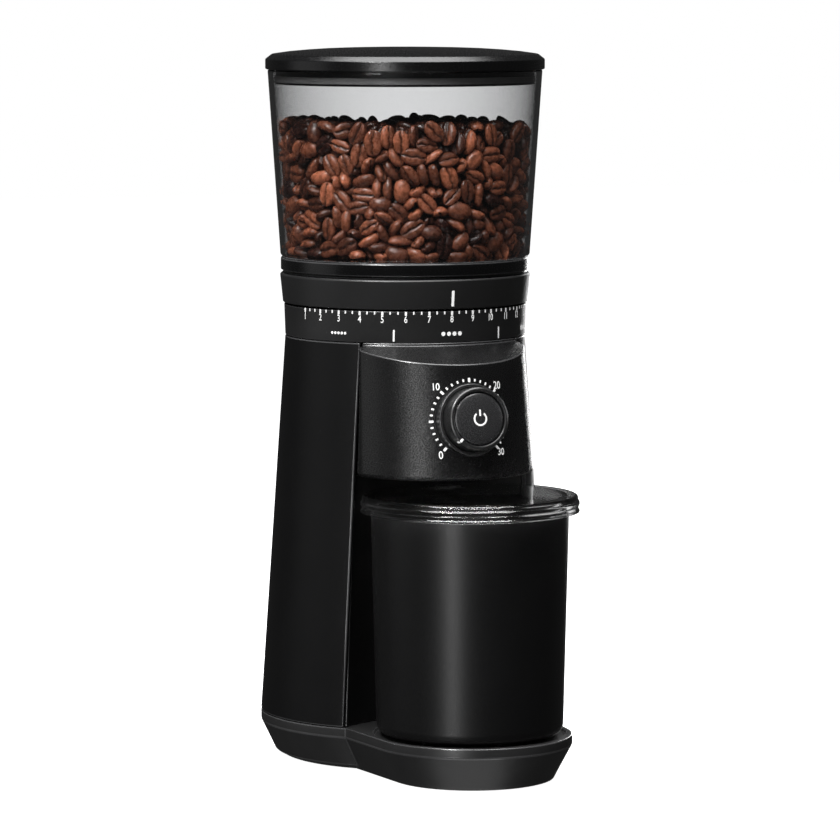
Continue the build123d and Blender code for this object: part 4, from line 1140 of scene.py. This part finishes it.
def add_lights():
    """Large overhead light, soft key, strips and a fill at the sides, and glints on cap and button."""
    piece, node = bpy.data.objects, frame["nodes"]
    lid, hopper, collar = piece["hopper_lid_skin"], piece["hopper_shell"], piece["grind_collar_skin"]
    cap, dial, button = piece["container_cap"], piece["dial_ring"], piece["button_cap"]
    beans = [each for each in piece if each.name.startswith("bean")]
    # azimuth, elevation, distance, width, height, power, and the height that the lamp aims at
    strip_front = add_softbox("strip_front", -42, 0, 1.7, 0.2, 1.2, 8, 0.15)
    spare(strip_front, hopper, cap, collar, node["scale_ring"], node["hopper_base"], *beans)
    fill_left = add_softbox("fill_left", -108, 12, 1.8, 1.2, 1.4, 2.2)
    spare(fill_left, hopper, cap, *beans)
    strip_right = add_softbox("strip_right", 140, 4, 1.6, 0.25, 0.8, 5, 0.25)
    spare(strip_right, hopper, cap, lid, *beans)
    add_softbox("key_front", -52, 42, 2.0, 0.4, 0.4, 34, 0.33)
    add_softbox("overhead", -22, 84, 1.5, 1.5, 1.5, 50)
    table_bounce = add_softbox("table_bounce", -22, -66, 0.9, 0.9, 0.9, 2.6, 0.05)
    spare(table_bounce, *beans)
    cap_glint = add_softbox("cap_glint", -22, 58, 1.2, 1.6, 0.6, 30, 0.16)
    aim_only_at(cap_glint, cap)
    button_glint = add_softbox("button_glint", 76, 12, 0.9, 0.16, 0.3, 1.6, 0.2)
    aim_only_at(button_glint, button, dial)


def add_floor():
    """Pale floor the object stands on."""
    shape = bmesh.new()
    bmesh.ops.create_grid(shape, x_segments=8, y_segments=8, size=6.0)
    mesh = finished(shape, "floor")
    floor = bpy.data.objects.new("floor", mesh)
    bpy.context.scene.collection.objects.link(floor)
    material, nodes, links, shader = new_material("pale_floor")
    tone = blend_colour(nodes, links, noise(nodes, links, scale=3, detail=2), grey(0.8), grey(0.82))
    links.new(tone, shader.inputs["Base Color"])
    shader.inputs["Roughness"].default_value = 0.8
    shader.inputs["Emission Color"].default_value = (1, 1, 1, 1)
    shader.inputs["Emission Strength"].default_value = 1.0
    # The floor is only a white surface to look at: it lights nothing and hides no lamp.
    floor.visible_diffuse = False
    floor.visible_glossy = False
    floor.visible_transmission = False
    floor.visible_shadow = False
    mesh.materials.append(material)


# ---------------------------------------------------------------- the scene
clothe_nodes()
add_camera()
add_floor()
add_lid()
add_hopper()
add_collar()
add_can()
add_dial()
add_button()
add_cap()
for node_name, (width, least_angle) in EASED_NODES.items():
    ease_node(node_name, width, least_angle)
add_ring_marks()
add_index_line()
add_dial_marks()
add_pointer()
add_start_symbol()
add_beans()
add_bean_core()
add_world()
add_lights()
bpy.context.scene.view_settings.view_transform = "Standard"
